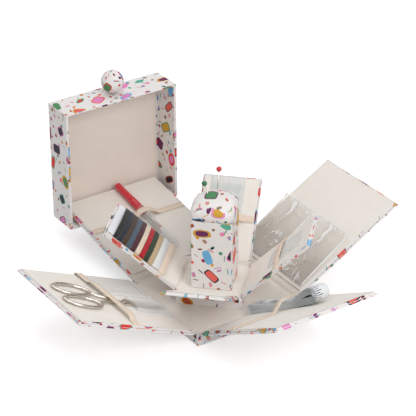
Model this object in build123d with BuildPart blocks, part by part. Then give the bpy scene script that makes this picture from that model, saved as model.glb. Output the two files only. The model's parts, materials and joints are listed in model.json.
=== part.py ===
from build123d import *
import os
from math import cos, sin, tan, radians, sqrt

# Sewing box that unfolds: a square base with four outer walls and, turned by an eighth of a
# turn on it, a small inner box with four walls of its own round a pincushion tower. The lid
# stands on the back wall. Millimetres and degrees; +Z is up, -Y is the front, and the origin
# is the middle of the base's underside.

# Base
base_side = 122.0
base_thickness = 11.0
base_lining_thickness = 2.0
edge_round = 0.5            # cloth turned over a board's edge
lining_clearance = 0.6      # from a shut wall's pad to the lining it stands beside

# Boards and pads of the outer walls
outer_wall_height = 142.0
outer_board_thickness = 2.2
outer_pad_thickness = 2.3
outer_pad_start = 6.0       # from the fold to the pad's lower edge
pad_margin = 1.6            # from the wall's free edge to the pad's
pad_corner = 2.0
pad_least_side = 0.4        # upright side of the fullest pad
pad_rows = [(0, 0), (2, 0.7), (6, 1)]   # a shoulder's rows: how far in and up, in rises

# Boards and pads of the inner walls
inner_side = 66.0
inner_wall_height = 94.0
inner_board_thickness = 2.0
inner_pad_thickness = 2.0
inner_pad_start = 3.0
plinth_height = 11.5
inner_turn = 45.0
floor_lining_thickness = 1.0

# Folds
fold_cord_radius = 0.5
fold_clearance = 0.2
corner_clearance = 0.2

# Tilt above level of each wall while the box stands open, and the rise of its pad's shoulder
front_tilt = 29.5
left_tilt = 24.2
right_tilt = 28.8
back_tilt = 9.0
inner_front_tilt = 30.7
inner_left_tilt = 38.0
inner_right_tilt = 45.0
inner_back_tilt = 42.0
plain_shoulder = 0.9
full_shoulder = 1.9
inner_right_shoulder = 1.6

# Tower and pincushion
tower_side = 41.0
tower_height = 76.0
tower_wall = 2.0
tower_corner = 1.2
cushion_height = 19.0
cushion_corner = 5.0
cushion_rows = [(0.0, 1.0), (0.32, 1.02), (0.62, 0.93), (0.86, 0.66), (1.0, 0.22)]

# Pins, placed from the tower's middle where they enter the cushion
pin_diameter = 0.8
pin_head_diameter = 5.5
pin_bore_clearance = 0.1
red_pin_length = 42.0
red_pin_depth = 14.0
red_pin_across = 1.5
red_pin_along = 4.0
red_pin_below_top = 0.6
red_pin_lean = (0.06, 0.02)
green_pin_length = 30.0
green_pin_depth = 17.0
green_pin_across = -7.0
green_pin_along = 3.0
green_pin_below_top = 1.8
green_pin_lean = (-0.34, 0.05)

# Lid
lid_clearance = 2.0
lid_wall = 4.0
lid_panel = 3.0
lid_corner = 1.5
lid_lining_thickness = 1.0
lid_depth = 37.0
lid_gap = 0.5               # from a wall's free edge to the lid's lining, lid shut
lid_fold_gap = 1.5          # from the back wall to the lid's own back wall, lid shut
lid_lean = 0.5              # backwards from upright

# Knob
knob_radius = 12.0
knob_flat = 1.0             # cut off the ball where it meets its neck
neck_radius = 4.5
neck_height = 2.6
neck_round = 0.6
knob_screw_diameter = 3.0
knob_screw_head = 6.4
knob_screw_head_height = 1.4
knob_screw_bite = 9.0
knob_slot_length = 4.0
knob_slot_width = 0.8
screw_clearance = 0.2

# Elastic bands: width, thickness, and where each crosses its wall, from the fold
elastic_width = 6.0
elastic_thickness = 0.7
elastic_clearance = 0.3     # over what it holds
elastic_rest = 0.1          # over the pad beside it
elastic_end_room = 0.9      # from its end to the pad's side, clear of the next wall's band
left_elastic_along = 74.0
front_elastic_along = 60.0
back_elastic_place = 62.5   # from the tip of the ripper's cap
inner_back_elastic_along = 48.0
inner_right_elastic_along = 50.0
inner_left_elastic_along = 24.0
left_ramp = 6.0             # how far each band takes to come down beside its piece
front_ramp = 12.0
back_ramp = 14.0
inner_ramp = 4.0

# Scissors, in a clear sleeve on the left wall
scissors_along = 58.0       # pivot, from the fold
scissors_across = -8.0
scissors_turn = -6.6
scissors_lift = 0.7         # over the pad
scissors_side_room = 8.0    # beside the rings, for the half that opens
blade_length = 47.0
blade_width = 6.4
blade_thickness = 1.4
blade_gap = 0.1
blade_back_bend = 26.0      # from the pivot to where the back starts to close in
blade_back_inset = 0.45
blade_edge_bend = 9.4       # from the pivot to where the edge starts
blade_edge_across = 1.3
ring_across = 14.0
ring_along = 47.0
ring_half_width = 12.8
ring_half_length = 27.5
ring_section = 3.4
shank_root = 1.0            # behind the pivot
shank_outer = 1.5           # beyond and short of the ring's middle line
shank_inner = 5.0
shank_outer_lap = 2.0       # into the ring's foot
shank_inner_lap = 5.0
pivot_diameter = 2.4
pivot_head_diameter = 5.4
pivot_head_height = 0.9
pivot_slot_width = 0.7
pivot_slot_depth = 0.5
sleeve_width = 31.0
sleeve_film = 0.4
sleeve_mouth = 8.0          # from the pivot to the sleeve's mouth
sleeve_tip_room = 2.0
sleeve_top_room = 0.4

# Clear bag on the left wall
zip_bag_width = 42.0
zip_bag_length = 66.0
zip_bag_thickness = 1.6
zip_bag_across = 33.5
zip_bag_along = 43.0
bag_corner = 1.5
piece_clearance = 0.2       # between a loose piece and what it lies on

# Folded tape measure on the front wall
tape_width = 18.0
tape_start_across = 4.0
tape_start_along = 9.0
tape_turn = 12.6
tape_band = 3.2             # layers of tape that lie against each other
tape_length = 98.0
tape_pinch = 50.0           # from its folded end to where the elastic pinches it
tape_end_height = 9.4
tape_pinch_height = 6.9
tape_loop_height = 18.0
tape_loop_rise = 1.8        # of the loop's lower side
tape_loop_root = 14.0       # from the pinch to where the loop's sides part
tape_root_height = 1.2      # of that place over the lower layers
tape_draw_room = 0.4        # over its thickest part, under the elastic
tape_side_room = 3.0        # beside it, under the elastic

# Film pockets on the right wall
pocket_width = 48.0
pocket_length = 72.0
pocket_thickness = 2.4
pocket_film = 0.5
pocket_along = 10.0
pocket_spread = 29.0        # from the wall's middle to each pocket's
pocket_lean = 5.0

# Seam ripper on the back wall
ripper_across = 7.0
ripper_handle_diameter = 8.4
ripper_handle_length = 47.0
ripper_handle_round = 2.6
ripper_cap_diameter = 9.0
ripper_cap_film = 0.7
ripper_cap_length = 71.0
ripper_end_room = 3.3       # from its handle to the wall's free edge
ripper_cap_tip = 5.0
ripper_cap_round = 1.2
ripper_plug_diameter = 6.6
ripper_plug_length = 8.0
ripper_stem_diameter = 2.0
ripper_stem_length = 17.0
ripper_stem_lap = 1.0       # of the blade into the stem
ripper_fork_width = 5.2
ripper_fork_length = 19.0
ripper_fork_thickness = 1.2
fork_throat = 4.0           # from the stem to the cutting edge
fork_shoulder = 5.0         # from the stem to the full width
short_prong = 9.0
short_prong_width = 1.0
long_prong_inset = 0.4      # of the point from the blade's side
long_prong_width = 0.8
ripper_bead_radius = 1.3
bead_seat = 0.05            # cut off the bead where it sits on the prong

# Thread card on the inner left wall
card_width = 53.6
card_length = 72.0
card_start = 20.0
card_thickness = 1.0
card_corner = 2.0
card_lift = 0.8
thread_count = 10
thread_pitch = 5.4
thread_gap = 0.3
thread_start = 31.0
thread_over = 1.0           # past the card's side edges
thread_shoulder = 0.8       # over the card at its edges
thread_rise = 3.6           # over the card at its middle
thread_under = 0.5
thread_slot = 0.05

# Bags on the inner back and inner right walls
snap_bag_width = 36.0
snap_bag_length = 46.0
snap_bag_thickness = 3.4
snap_bag_film = 0.4
snap_bag_seam = 0.8
snap_bag_across = -3.5
snap_bag_along = 70.0
snap_diameter = 9.0
snap_thickness = 1.8
snap_pitch = 11.0
snap_rows = 3
needle_bag_width = 30.0
needle_bag_length = 44.0
needle_bag_thickness = 1.4
needle_bag_along = 58.0

# Worked-out places
base_half = base_side / 2
inner_half = inner_side / 2
plinth_bottom = base_thickness + base_lining_thickness
inner_level = plinth_bottom + plinth_height
floor_level = inner_level + floor_lining_thickness
wall_start = fold_cord_radius + fold_clearance
fold_chamfer = wall_start * sqrt(2)
outer_thickness = outer_board_thickness + outer_pad_thickness
inner_thickness = inner_board_thickness + inner_pad_thickness
outer_board_width = base_side - 2 * (outer_board_thickness + corner_clearance)
outer_pad_width = base_side - 2 * (outer_thickness + corner_clearance)
inner_board_width = inner_side - 2 * (inner_board_thickness + corner_clearance)
inner_pad_width = inner_side - 2 * (inner_thickness + corner_clearance)
base_lining_side = base_side - 2 * (outer_thickness + lining_clearance)
floor_lining_side = inner_side - 2 * (inner_thickness + lining_clearance)
lid_inside = base_side + 2 * lid_clearance
lid_outside = lid_inside + 2 * lid_wall
lid_inner_depth = lid_depth - lid_panel - lid_lining_thickness


def direction(azimuth):
    """Level direction out of a side of the box; azimuth 0 is the front."""
    return Vector(sin(radians(azimuth)), -cos(radians(azimuth)), 0)


def wall_plane(azimuth, half_side, level, tilt):
    """Plane of a wall's outer face: origin on its fold, y up the wall, z to its inner side."""
    out = direction(azimuth)
    along = out * cos(radians(tilt)) + Vector(0, 0, 1) * sin(radians(tilt))
    normal = Vector(0, 0, 1) * cos(radians(tilt)) - out * sin(radians(tilt))
    return Plane(origin=out * half_side + Vector(0, 0, level), x_dir=along.cross(normal), z_dir=normal)


def moved(plane, across, along, lift=0.0, turn=0.0):
    """The plane shifted in itself, lifted along its normal and turned in itself."""
    origin = plane.origin + plane.x_dir * across + plane.y_dir * along + plane.z_dir * lift
    x_dir = plane.x_dir * cos(radians(turn)) + plane.y_dir * sin(radians(turn))
    return Plane(origin=origin, x_dir=x_dir, z_dir=plane.z_dir)


def end_plane(plane):
    """Cross-section of a wall: x across, y to the inner side, z back towards the fold."""
    return Plane(origin=plane.origin, x_dir=plane.x_dir, z_dir=plane.y_dir * -1)


def side_plane(plane):
    """Section along a wall: x up the wall, y to the inner side, z across."""
    return Plane(origin=plane.origin, x_dir=plane.y_dir, z_dir=plane.x_dir)


front_plane = wall_plane(0, base_half, base_thickness, front_tilt)
left_plane = wall_plane(-90, base_half, base_thickness, left_tilt)
right_plane = wall_plane(90, base_half, base_thickness, right_tilt)
back_plane = wall_plane(180, base_half, base_thickness, back_tilt)
inner_front_plane = wall_plane(-inner_turn, inner_half, inner_level, inner_front_tilt)
inner_left_plane = wall_plane(-inner_turn - 90, inner_half, inner_level, inner_left_tilt)
inner_right_plane = wall_plane(90 - inner_turn, inner_half, inner_level, inner_right_tilt)
inner_back_plane = wall_plane(180 - inner_turn, inner_half, inner_level, inner_back_tilt)

outer_walls = [
    ("front", front_plane, full_shoulder),
    ("left", left_plane, plain_shoulder),
    ("right", right_plane, plain_shoulder),
    ("back", back_plane, plain_shoulder),
]
inner_walls = [
    ("inner_front", inner_front_plane, plain_shoulder),
    ("inner_left", inner_left_plane, plain_shoulder),
    ("inner_right", inner_right_plane, inner_right_shoulder),
    ("inner_back", inner_back_plane, plain_shoulder),
]

os.makedirs("parts", exist_ok=True)


def save(piece, name):
    piece.part.label = name
    export_step(piece.part, "parts/" + name + ".step")


def fold_cords(half_side, level, turn, length):
    """Round cloth folds along the four top edges of a square board."""
    with BuildPart() as cords:
        for quarter in range(4):
            out = direction(turn + 90 * quarter)
            run = Vector(0, 0, 1).cross(out)
            start = out * half_side + Vector(0, 0, level) - run * (length / 2)
            with BuildSketch(Plane(origin=start, x_dir=out, z_dir=run)):
                Circle(fold_cord_radius)
            extrude(amount=length)
    return cords


# Base board, its top edges cut back for the cloth folds
with BuildPart() as base_board:
    with BuildSketch():
        Rectangle(base_side, base_side)
    extrude(amount=base_thickness)
    chamfer(base_board.faces().sort_by(Axis.Z)[-1].edges(), fold_chamfer)
save(base_board, "base_board")

with BuildPart() as base_lining:
    with BuildSketch(Plane.XY.offset(base_thickness)):
        RectangleRounded(base_lining_side, base_lining_side, edge_round)
    extrude(amount=base_lining_thickness)
    fillet(base_lining.faces().sort_by(Axis.Z)[-1].edges(), edge_round)
save(base_lining, "base_lining")

save(fold_cords(base_half, base_thickness, 0, outer_board_width), "outer_cloth_folds")

# Inner box: plinth, floor lining and folds, turned on the base
inner_ground = Plane(origin=(0, 0, plinth_bottom), x_dir=direction(90 - inner_turn), z_dir=(0, 0, 1))

with BuildPart() as inner_plinth:
    with BuildSketch(inner_ground):
        Rectangle(inner_side, inner_side)
    extrude(amount=plinth_height)
    chamfer(inner_plinth.faces().sort_by(Axis.Z)[-1].edges(), fold_chamfer)
save(inner_plinth, "inner_plinth")

with BuildPart() as inner_floor_lining:
    with BuildSketch(inner_ground.offset(plinth_height)):
        RectangleRounded(floor_lining_side, floor_lining_side, edge_round)
    extrude(amount=floor_lining_thickness)
save(inner_floor_lining, "inner_floor_lining")

save(fold_cords(inner_half, inner_level, -inner_turn, inner_board_width), "inner_cloth_folds")


# Walls: a printed board outside and a cream pad inside
def wall_board(plane, width, height, thickness):
    with BuildPart() as board:
        with BuildSketch(plane):
            with Locations((0, (wall_start + height) / 2)):
                Rectangle(width, height - wall_start)
        extrude(amount=thickness)
        fillet(board.edges(), edge_round)
    return board


def wall_pad(plane, width, start, height, bottom, thickness, shoulder):
    """A pad with straight sides, then a rounded shoulder up to a flat top."""
    length = height - pad_margin - start
    rise = min(shoulder, thickness - pad_least_side)
    straight = thickness - rise
    with BuildPart() as pad:
        with BuildSketch(plane.offset(bottom)):
            with Locations((0, start + length / 2)):
                RectangleRounded(width, length, pad_corner)
        extrude(amount=straight)
        for inset, share in pad_rows:
            with BuildSketch(plane.offset(bottom + straight + rise * share)):
                with Locations((0, start + length / 2)):
                    RectangleRounded(width - 2 * inset * rise, length - 2 * inset * rise, pad_corner)
        loft(ruled=True)
    return pad


for name, plane, shoulder in outer_walls:
    board = wall_board(plane, outer_board_width, outer_wall_height, outer_board_thickness)
    pad = wall_pad(plane, outer_pad_width, outer_pad_start, outer_wall_height,
                   outer_board_thickness, outer_pad_thickness, shoulder)
    save(board, name + "_wall_board")
    save(pad, name + "_wall_pad")

for name, plane, shoulder in inner_walls:
    board = wall_board(plane, inner_board_width, inner_wall_height, inner_board_thickness)
    pad = wall_pad(plane, inner_pad_width, inner_pad_start, inner_wall_height,
                   inner_board_thickness, inner_pad_thickness, shoulder)
    save(board, name + "_wall_board")
    save(pad, name + "_wall_pad")

# Tower: an open-bottomed box of card, glued to the floor lining
tower_ground = Plane(origin=(0, 0, floor_level), x_dir=inner_ground.x_dir, z_dir=(0, 0, 1))

with BuildPart() as tower_box:
    with BuildSketch(tower_ground):
        RectangleRounded(tower_side, tower_side, tower_corner)
    extrude(amount=tower_height)
    with BuildSketch(tower_ground):
        Rectangle(tower_side - 2 * tower_wall, tower_side - 2 * tower_wall)
    extrude(amount=tower_height - tower_wall, mode=Mode.SUBTRACT)
save(tower_box, "tower_box")


def pin_plane(across, along, below_top, lean):
    """Plane at a pin's entry into the cushion, z out along the pin."""
    ground = moved(tower_ground, across, along, tower_height + cushion_height - below_top)
    axis = (ground.x_dir * lean[0] + ground.y_dir * lean[1] + Vector(0, 0, 1)).normalized()
    return Plane(origin=ground.origin, x_dir=ground.x_dir, z_dir=axis)


red_pin_plane = pin_plane(red_pin_across, red_pin_along, red_pin_below_top, red_pin_lean)
green_pin_plane = pin_plane(green_pin_across, green_pin_along, green_pin_below_top, green_pin_lean)
pins = [
    ("red_pin", red_pin_plane, red_pin_length, red_pin_depth),
    ("green_pin", green_pin_plane, green_pin_length, green_pin_depth),
]

# Pincushion: a stuffed square that crowns from its upright sides to its top
with BuildPart() as pincushion:
    for share, spread in cushion_rows:
        with BuildSketch(tower_ground.offset(tower_height + cushion_height * share)):
            RectangleRounded(tower_side * spread, tower_side * spread, cushion_corner * spread)
    loft()
    for name, plane, length, depth in pins:
        with BuildSketch(plane.offset(-depth - pin_bore_clearance)):
            Circle(pin_diameter / 2 + pin_bore_clearance)
        extrude(amount=depth + cushion_height / 2, mode=Mode.SUBTRACT)
save(pincushion, "pincushion")

for name, plane, length, depth in pins:
    with BuildPart() as pin:
        with BuildSketch(plane.offset(-depth)):
            Circle(pin_diameter / 2)
        extrude(amount=length)
        with Locations(plane.offset(length - depth)):
            Sphere(pin_head_diameter / 2)
    save(pin, name)

# Lid: hinged by a cloth fold on the back wall's outer face, at the rim of its own back wall
lid_fold_along = outer_wall_height + lid_gap - lid_inner_depth
lid_fold = moved(back_plane, 0, lid_fold_along, -lid_fold_gap / 2)
lid_along = Vector(0, cos(radians(lid_lean)), -sin(radians(lid_lean)))
lid_rim = Plane(origin=lid_fold.origin, x_dir=(1, 0, 0), z_dir=lid_along)
lid_centre = -(lid_inside / 2 - lid_fold_gap / 2)
lid_front_face = lid_inside - lid_fold_gap / 2 + lid_wall
knob_plane = Plane(
    origin=lid_rim.origin + lid_along * (lid_depth / 2) - lid_rim.y_dir * lid_front_face,
    x_dir=(1, 0, 0),
    z_dir=lid_rim.y_dir * -1,
)
knob_bore = knob_screw_diameter / 2 + screw_clearance

with BuildPart() as lid_tray:
    with BuildSketch(lid_rim):
        with Locations((0, lid_centre)):
            RectangleRounded(lid_outside, lid_outside, lid_corner)
    extrude(amount=lid_depth)
    with BuildSketch(lid_rim):
        with Locations((0, lid_centre)):
            Rectangle(lid_inside, lid_inside)
    extrude(amount=lid_depth - lid_panel, mode=Mode.SUBTRACT)
    with BuildSketch(knob_plane):
        Circle(knob_bore)
    extrude(amount=-lid_wall, mode=Mode.SUBTRACT)
save(lid_tray, "lid_tray")

with BuildPart() as lid_lining:
    with BuildSketch(lid_rim.offset(lid_inner_depth)):
        with Locations((0, lid_centre)):
            Rectangle(lid_inside - 2 * corner_clearance, lid_inside - 2 * corner_clearance)
    extrude(amount=lid_lining_thickness)
save(lid_lining, "lid_lining")

with BuildPart() as lid_cloth_fold:
    fold_start = moved(lid_fold, -outer_board_width / 2, 0)
    with BuildSketch(Plane(origin=fold_start.origin, x_dir=lid_fold.y_dir, z_dir=lid_fold.x_dir)):
        Circle(fold_cord_radius)
    extrude(amount=outer_board_width)
save(lid_cloth_fold, "lid_cloth_fold")

with BuildPart() as knob_neck:
    with BuildSketch(knob_plane):
        Circle(neck_radius)
        Circle(knob_bore, mode=Mode.SUBTRACT)
    extrude(amount=neck_height)
    fillet(knob_neck.faces().sort_by(Axis.Z)[0].edges().sort_by(SortBy.LENGTH)[-1], neck_round)
save(knob_neck, "knob_neck")

with BuildPart() as lid_knob:
    with Locations(knob_plane.offset(neck_height + knob_radius - knob_flat)):
        Sphere(knob_radius)
    split(bisect_by=knob_plane.offset(neck_height), keep=Keep.TOP)
    with BuildSketch(knob_plane.offset(neck_height)):
        Circle(knob_bore)
    extrude(amount=knob_screw_bite, mode=Mode.SUBTRACT)
save(lid_knob, "lid_knob")

knob_screw_top = knob_plane.offset(-lid_wall - knob_screw_head_height)

with BuildPart() as knob_screw:
    with BuildSketch(knob_screw_top):
        Circle(knob_screw_head / 2)
    extrude(amount=knob_screw_head_height)
    with BuildSketch(knob_plane.offset(-lid_wall)):
        Circle(knob_screw_diameter / 2)
    extrude(amount=lid_wall + neck_height + knob_screw_bite - screw_clearance)
    with BuildSketch(knob_screw_top):
        Rectangle(knob_slot_length, knob_slot_width)
        Rectangle(knob_slot_width, knob_slot_length)
    extrude(amount=knob_slot_width, mode=Mode.SUBTRACT)
save(knob_screw, "knob_screw")


# Elastic bands: flat at both edges of the pad and raised over what they hold
def elastic(plane, along, profile):
    """A band across a wall; the profile lists its underside as (across, height)."""
    upper = [(across, height + elastic_thickness) for across, height in reversed(profile)]
    with BuildPart() as band:
        with BuildSketch(end_plane(plane).offset(-along - elastic_width / 2)):
            with BuildLine():
                Polyline(*profile, *upper, close=True)
            make_face()
        extrude(amount=elastic_width)
    return band


def raised(edge, flat, left, right, top, ramp):
    """Band profile: flat on the pad, up a ramp on each side, level over a piece."""
    low = flat + elastic_rest
    high = top + elastic_clearance
    return [(-edge, low), (left - ramp, low), (left, high), (right, high), (right + ramp, low), (edge, low)]


outer_edge = outer_pad_width / 2 - elastic_end_room
inner_edge = inner_pad_width / 2 - elastic_end_room
outer_seat = outer_thickness + piece_clearance
inner_seat = inner_thickness + piece_clearance

# Over the scissors and on over the clear bag, which reaches the pad's edge
scissors_thickness = 2 * blade_thickness + blade_gap
scissors_top = outer_thickness + scissors_lift + scissors_thickness + pivot_head_height
scissors_reach = ring_across + ring_half_width + scissors_side_room
left_low = outer_thickness + elastic_rest
left_high = scissors_top + elastic_clearance
left_over_bag = outer_seat + zip_bag_thickness + elastic_clearance
left_profile = [
    (-outer_edge, left_low),
    (scissors_across - scissors_reach - left_ramp, left_low),
    (scissors_across - scissors_reach, left_high),
    (scissors_across + scissors_reach, left_high),
    (scissors_across + scissors_reach + left_ramp, left_over_bag),
    (outer_edge, left_over_bag),
]
save(elastic(left_plane, left_elastic_along, left_profile), "left_elastic")

# Over the tape measure, high enough for its thickest part to be drawn through
tape_crossing = tape_start_across - (front_elastic_along - tape_start_along) * tan(radians(tape_turn))
front_profile = raised(
    outer_edge,
    outer_thickness,
    tape_crossing - tape_width / cos(radians(tape_turn)) - tape_side_room,
    tape_crossing + tape_side_room,
    outer_seat + tape_end_height + tape_draw_room,
    front_ramp,
)
save(elastic(front_plane, front_elastic_along, front_profile), "front_elastic")

cap_radius = ripper_cap_diameter / 2
ripper_length = ripper_cap_length + piece_clearance + ripper_handle_length
ripper_cap_start = outer_wall_height - ripper_end_room - ripper_length
back_elastic_along = ripper_cap_start + back_elastic_place
back_profile = raised(
    outer_edge,
    outer_thickness,
    ripper_across - cap_radius,
    ripper_across + cap_radius,
    outer_seat + ripper_cap_diameter,
    back_ramp,
)
save(elastic(back_plane, back_elastic_along, back_profile), "back_elastic")

inner_back_profile = raised(
    inner_edge,
    inner_thickness,
    snap_bag_across - snap_bag_width / 2 - piece_clearance,
    snap_bag_across + snap_bag_width / 2 + piece_clearance,
    inner_seat + snap_bag_thickness,
    inner_ramp,
)
save(elastic(inner_back_plane, inner_back_elastic_along, inner_back_profile), "inner_back_elastic")

inner_right_profile = raised(
    inner_edge,
    inner_thickness,
    -needle_bag_width / 2,
    needle_bag_width / 2,
    inner_seat + needle_bag_thickness,
    inner_ramp,
)
save(elastic(inner_right_plane, inner_right_elastic_along, inner_right_profile), "inner_right_elastic")

card_bottom = inner_thickness + card_lift
card_top = card_bottom + card_thickness
card_profile = [(-inner_edge, card_top + elastic_clearance), (inner_edge, card_top + elastic_clearance)]
save(elastic(inner_left_plane, inner_left_elastic_along, card_profile), "inner_left_elastic")

# Scissors: two halves crossed on a screw, their blades in a clear sleeve
pivot_plane = moved(left_plane, scissors_across, scissors_along, outer_thickness + scissors_lift, scissors_turn)
half_blade = blade_width / 2
ring_foot = ring_along - ring_half_length


def scissors_half(side, bottom):
    """One half: a blade on one side of the axis, its shank and ring on the other."""
    with BuildPart() as half:
        with BuildSketch(pivot_plane.offset(bottom)):
            with BuildLine():
                Spline(
                    (-side * half_blade, 0),
                    (-side * (half_blade - blade_back_inset), -blade_back_bend),
                    (0, -blade_length),
                )
                Line((0, -blade_length), (side * blade_edge_across, -blade_edge_bend))
                Line((side * blade_edge_across, -blade_edge_bend), (side * half_blade, 0))
                Line((side * half_blade, 0), (-side * half_blade, 0))
            make_face()
            Circle(half_blade)
            with BuildLine():
                Polyline(
                    (-side * half_blade, 0),
                    (side * half_blade, -shank_root),
                    (side * (ring_across + shank_outer), ring_foot + shank_outer_lap),
                    (side * (ring_across - shank_inner), ring_foot + shank_inner_lap),
                    close=True,
                )
            make_face()
            with Locations((side * ring_across, ring_along)):
                Ellipse(ring_half_width - ring_section, ring_half_length - ring_section, mode=Mode.SUBTRACT)
            Circle(pivot_diameter / 2 + screw_clearance, mode=Mode.SUBTRACT)
        extrude(amount=blade_thickness)
        with BuildSketch(pivot_plane):
            with Locations((side * ring_across, ring_along)):
                Ellipse(ring_half_width, ring_half_length)
                Ellipse(ring_half_width - ring_section, ring_half_length - ring_section, mode=Mode.SUBTRACT)
        extrude(amount=scissors_thickness)
    return half


save(scissors_half(1, 0), "scissors_lower_half")
save(scissors_half(-1, blade_thickness + blade_gap), "scissors_upper_half")

pivot_top = pivot_plane.offset(scissors_thickness + pivot_head_height)

with BuildPart() as scissors_screw:
    with BuildSketch(pivot_plane):
        Circle(pivot_diameter / 2)
    extrude(amount=scissors_thickness)
    with BuildSketch(pivot_top):
        Circle(pivot_head_diameter / 2)
    extrude(amount=-pivot_head_height)
    with BuildSketch(pivot_top):
        Rectangle(pivot_head_diameter, pivot_slot_width)
    extrude(amount=-pivot_slot_depth, mode=Mode.SUBTRACT)
save(scissors_screw, "scissors_screw")

sleeve_length = blade_length + sleeve_tip_room - sleeve_mouth + sleeve_film
sleeve_plane = moved(pivot_plane, 0, -sleeve_mouth, -scissors_lift)
sleeve_height = scissors_lift + scissors_thickness + sleeve_top_room + sleeve_film

with BuildPart() as scissors_sleeve:
    with BuildSketch(sleeve_plane):
        with Locations((0, -sleeve_length / 2)):
            Rectangle(sleeve_width, sleeve_length)
    extrude(amount=sleeve_height)
    with BuildSketch(sleeve_plane.offset(sleeve_film)):
        with Locations((0, -(sleeve_length - sleeve_film) / 2)):
            Rectangle(sleeve_width - 2 * sleeve_film, sleeve_length - sleeve_film)
    extrude(amount=sleeve_height - 2 * sleeve_film, mode=Mode.SUBTRACT)
save(scissors_sleeve, "scissors_sleeve")

# Clear bag tucked under the elastic beside the scissors
with BuildPart() as zip_bag:
    with BuildSketch(moved(left_plane, zip_bag_across, zip_bag_along, outer_seat)):
        RectangleRounded(zip_bag_width, zip_bag_length, bag_corner)
    extrude(amount=zip_bag_thickness)
save(zip_bag, "zip_bag")

# Tape measure: a folded band, pinched under the elastic, with a loop towards the free edge
tape_plane = side_plane(moved(front_plane, tape_start_across, tape_start_along, outer_seat, tape_turn))
tape_end = tape_end_height / 2
loop_start = tape_length - tape_loop_height / 2
loop_root = tape_pinch + tape_loop_root
loop_middle = (tape_loop_height + tape_loop_rise) / 2

with BuildPart() as tape_measure:
    with BuildSketch(tape_plane):
        with BuildLine():
            Line((tape_end, 0), (tape_pinch, 0))
            Line((tape_pinch, 0), (loop_start, tape_loop_rise))
            ThreePointArc(
                (loop_start, tape_loop_rise),
                (tape_length, loop_middle),
                (loop_start, tape_loop_height),
            )
            Line((loop_start, tape_loop_height), (tape_pinch, tape_pinch_height))
            Line((tape_pinch, tape_pinch_height), (tape_end, tape_end_height))
            ThreePointArc((tape_end, tape_end_height), (0, tape_end), (tape_end, 0))
        make_face()
        with BuildLine():
            Line((loop_root, tape_band + tape_root_height), (loop_start, tape_band + tape_loop_rise))
            ThreePointArc(
                (loop_start, tape_band + tape_loop_rise),
                (tape_length - tape_band, loop_middle),
                (loop_start, tape_loop_height - tape_band),
            )
            Line((loop_start, tape_loop_height - tape_band), (loop_root, tape_band + tape_root_height))
        make_face(mode=Mode.SUBTRACT)
    extrude(amount=-tape_width)
save(tape_measure, "tape_measure")

# Film pockets on the right wall, welded on three sides and open at the top
for name, side in (("near", 1), ("far", -1)):
    flat = moved(right_plane, side * pocket_spread, pocket_along, outer_thickness)
    up = flat.y_dir * cos(radians(pocket_lean)) + flat.z_dir * sin(radians(pocket_lean))
    pocket_plane = Plane(origin=flat.origin, x_dir=flat.x_dir, z_dir=flat.x_dir.cross(up))
    with BuildPart() as pocket:
        with BuildSketch(pocket_plane):
            with Locations((0, pocket_length / 2)):
                Rectangle(pocket_width, pocket_length)
        extrude(amount=pocket_thickness)
        with BuildSketch(pocket_plane.offset(pocket_film)):
            with Locations((0, pocket_length / 2 + pocket_film)):
                Rectangle(pocket_width - 2 * pocket_film, pocket_length)
        extrude(amount=pocket_thickness - 2 * pocket_film, mode=Mode.SUBTRACT)
    save(pocket, "pocket_" + name)

# Seam ripper: handle, forked blade and clear cap, all on one axis up the back wall
ripper_base = moved(back_plane, ripper_across, ripper_cap_start, outer_seat + cap_radius)
ripper_axis = Plane(origin=ripper_base.origin, x_dir=ripper_base.x_dir, z_dir=ripper_base.y_dir)
handle_start = ripper_cap_length + piece_clearance
plug_start = handle_start - ripper_plug_length
stem_start = plug_start - ripper_stem_length
fork_start = stem_start - ripper_fork_length
fork_half = ripper_fork_width / 2
prong_end = stem_start - short_prong

with BuildPart() as ripper_cap:
    with BuildSketch(ripper_axis):
        Circle(cap_radius)
    extrude(amount=ripper_cap_length)
    with BuildSketch(ripper_axis.offset(ripper_cap_tip)):
        Circle(cap_radius - ripper_cap_film)
    extrude(amount=ripper_cap_length, mode=Mode.SUBTRACT)
    fillet(ripper_cap.faces().sort_by(Axis.Y)[0].edges(), ripper_cap_round)
save(ripper_cap, "ripper_cap")

with BuildPart() as ripper_handle:
    with BuildSketch(ripper_axis.offset(plug_start)):
        Circle(ripper_plug_diameter / 2)
    extrude(amount=ripper_plug_length)
    with BuildSketch(ripper_axis.offset(handle_start)):
        Circle(ripper_handle_diameter / 2)
    extrude(amount=ripper_handle_length)
    fillet(ripper_handle.faces().sort_by(Axis.Y)[-1].edges(), ripper_handle_round)
save(ripper_handle, "ripper_handle")

with BuildPart() as ripper_fork:
    with BuildSketch(ripper_axis.offset(stem_start)):
        Circle(ripper_stem_diameter / 2)
    extrude(amount=ripper_stem_length)
    with BuildSketch(ripper_base.offset(-ripper_fork_thickness / 2)):
        with BuildLine():
            Polyline(
                (-ripper_stem_diameter / 2, stem_start + ripper_stem_lap),
                (ripper_stem_diameter / 2, stem_start + ripper_stem_lap),
                (fork_half, stem_start - fork_shoulder),
                (fork_half, prong_end),
                (fork_half - short_prong_width, prong_end),
                (0, stem_start - fork_throat),
                (long_prong_inset + long_prong_width - fork_half, fork_start),
                (long_prong_inset - fork_half, fork_start),
                (-fork_half, stem_start - fork_shoulder),
                close=True,
            )
        make_face()
    extrude(amount=ripper_fork_thickness)
save(ripper_fork, "ripper_fork")

prong_face = moved(ripper_base, fork_half - short_prong_width / 2, prong_end)

with BuildPart() as ripper_bead:
    with Locations(moved(prong_face, 0, bead_seat - ripper_bead_radius)):
        Sphere(ripper_bead_radius)
    split(bisect_by=Plane(origin=prong_face.origin, z_dir=prong_face.y_dir * -1), keep=Keep.TOP)
save(ripper_bead, "ripper_bead")

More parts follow.
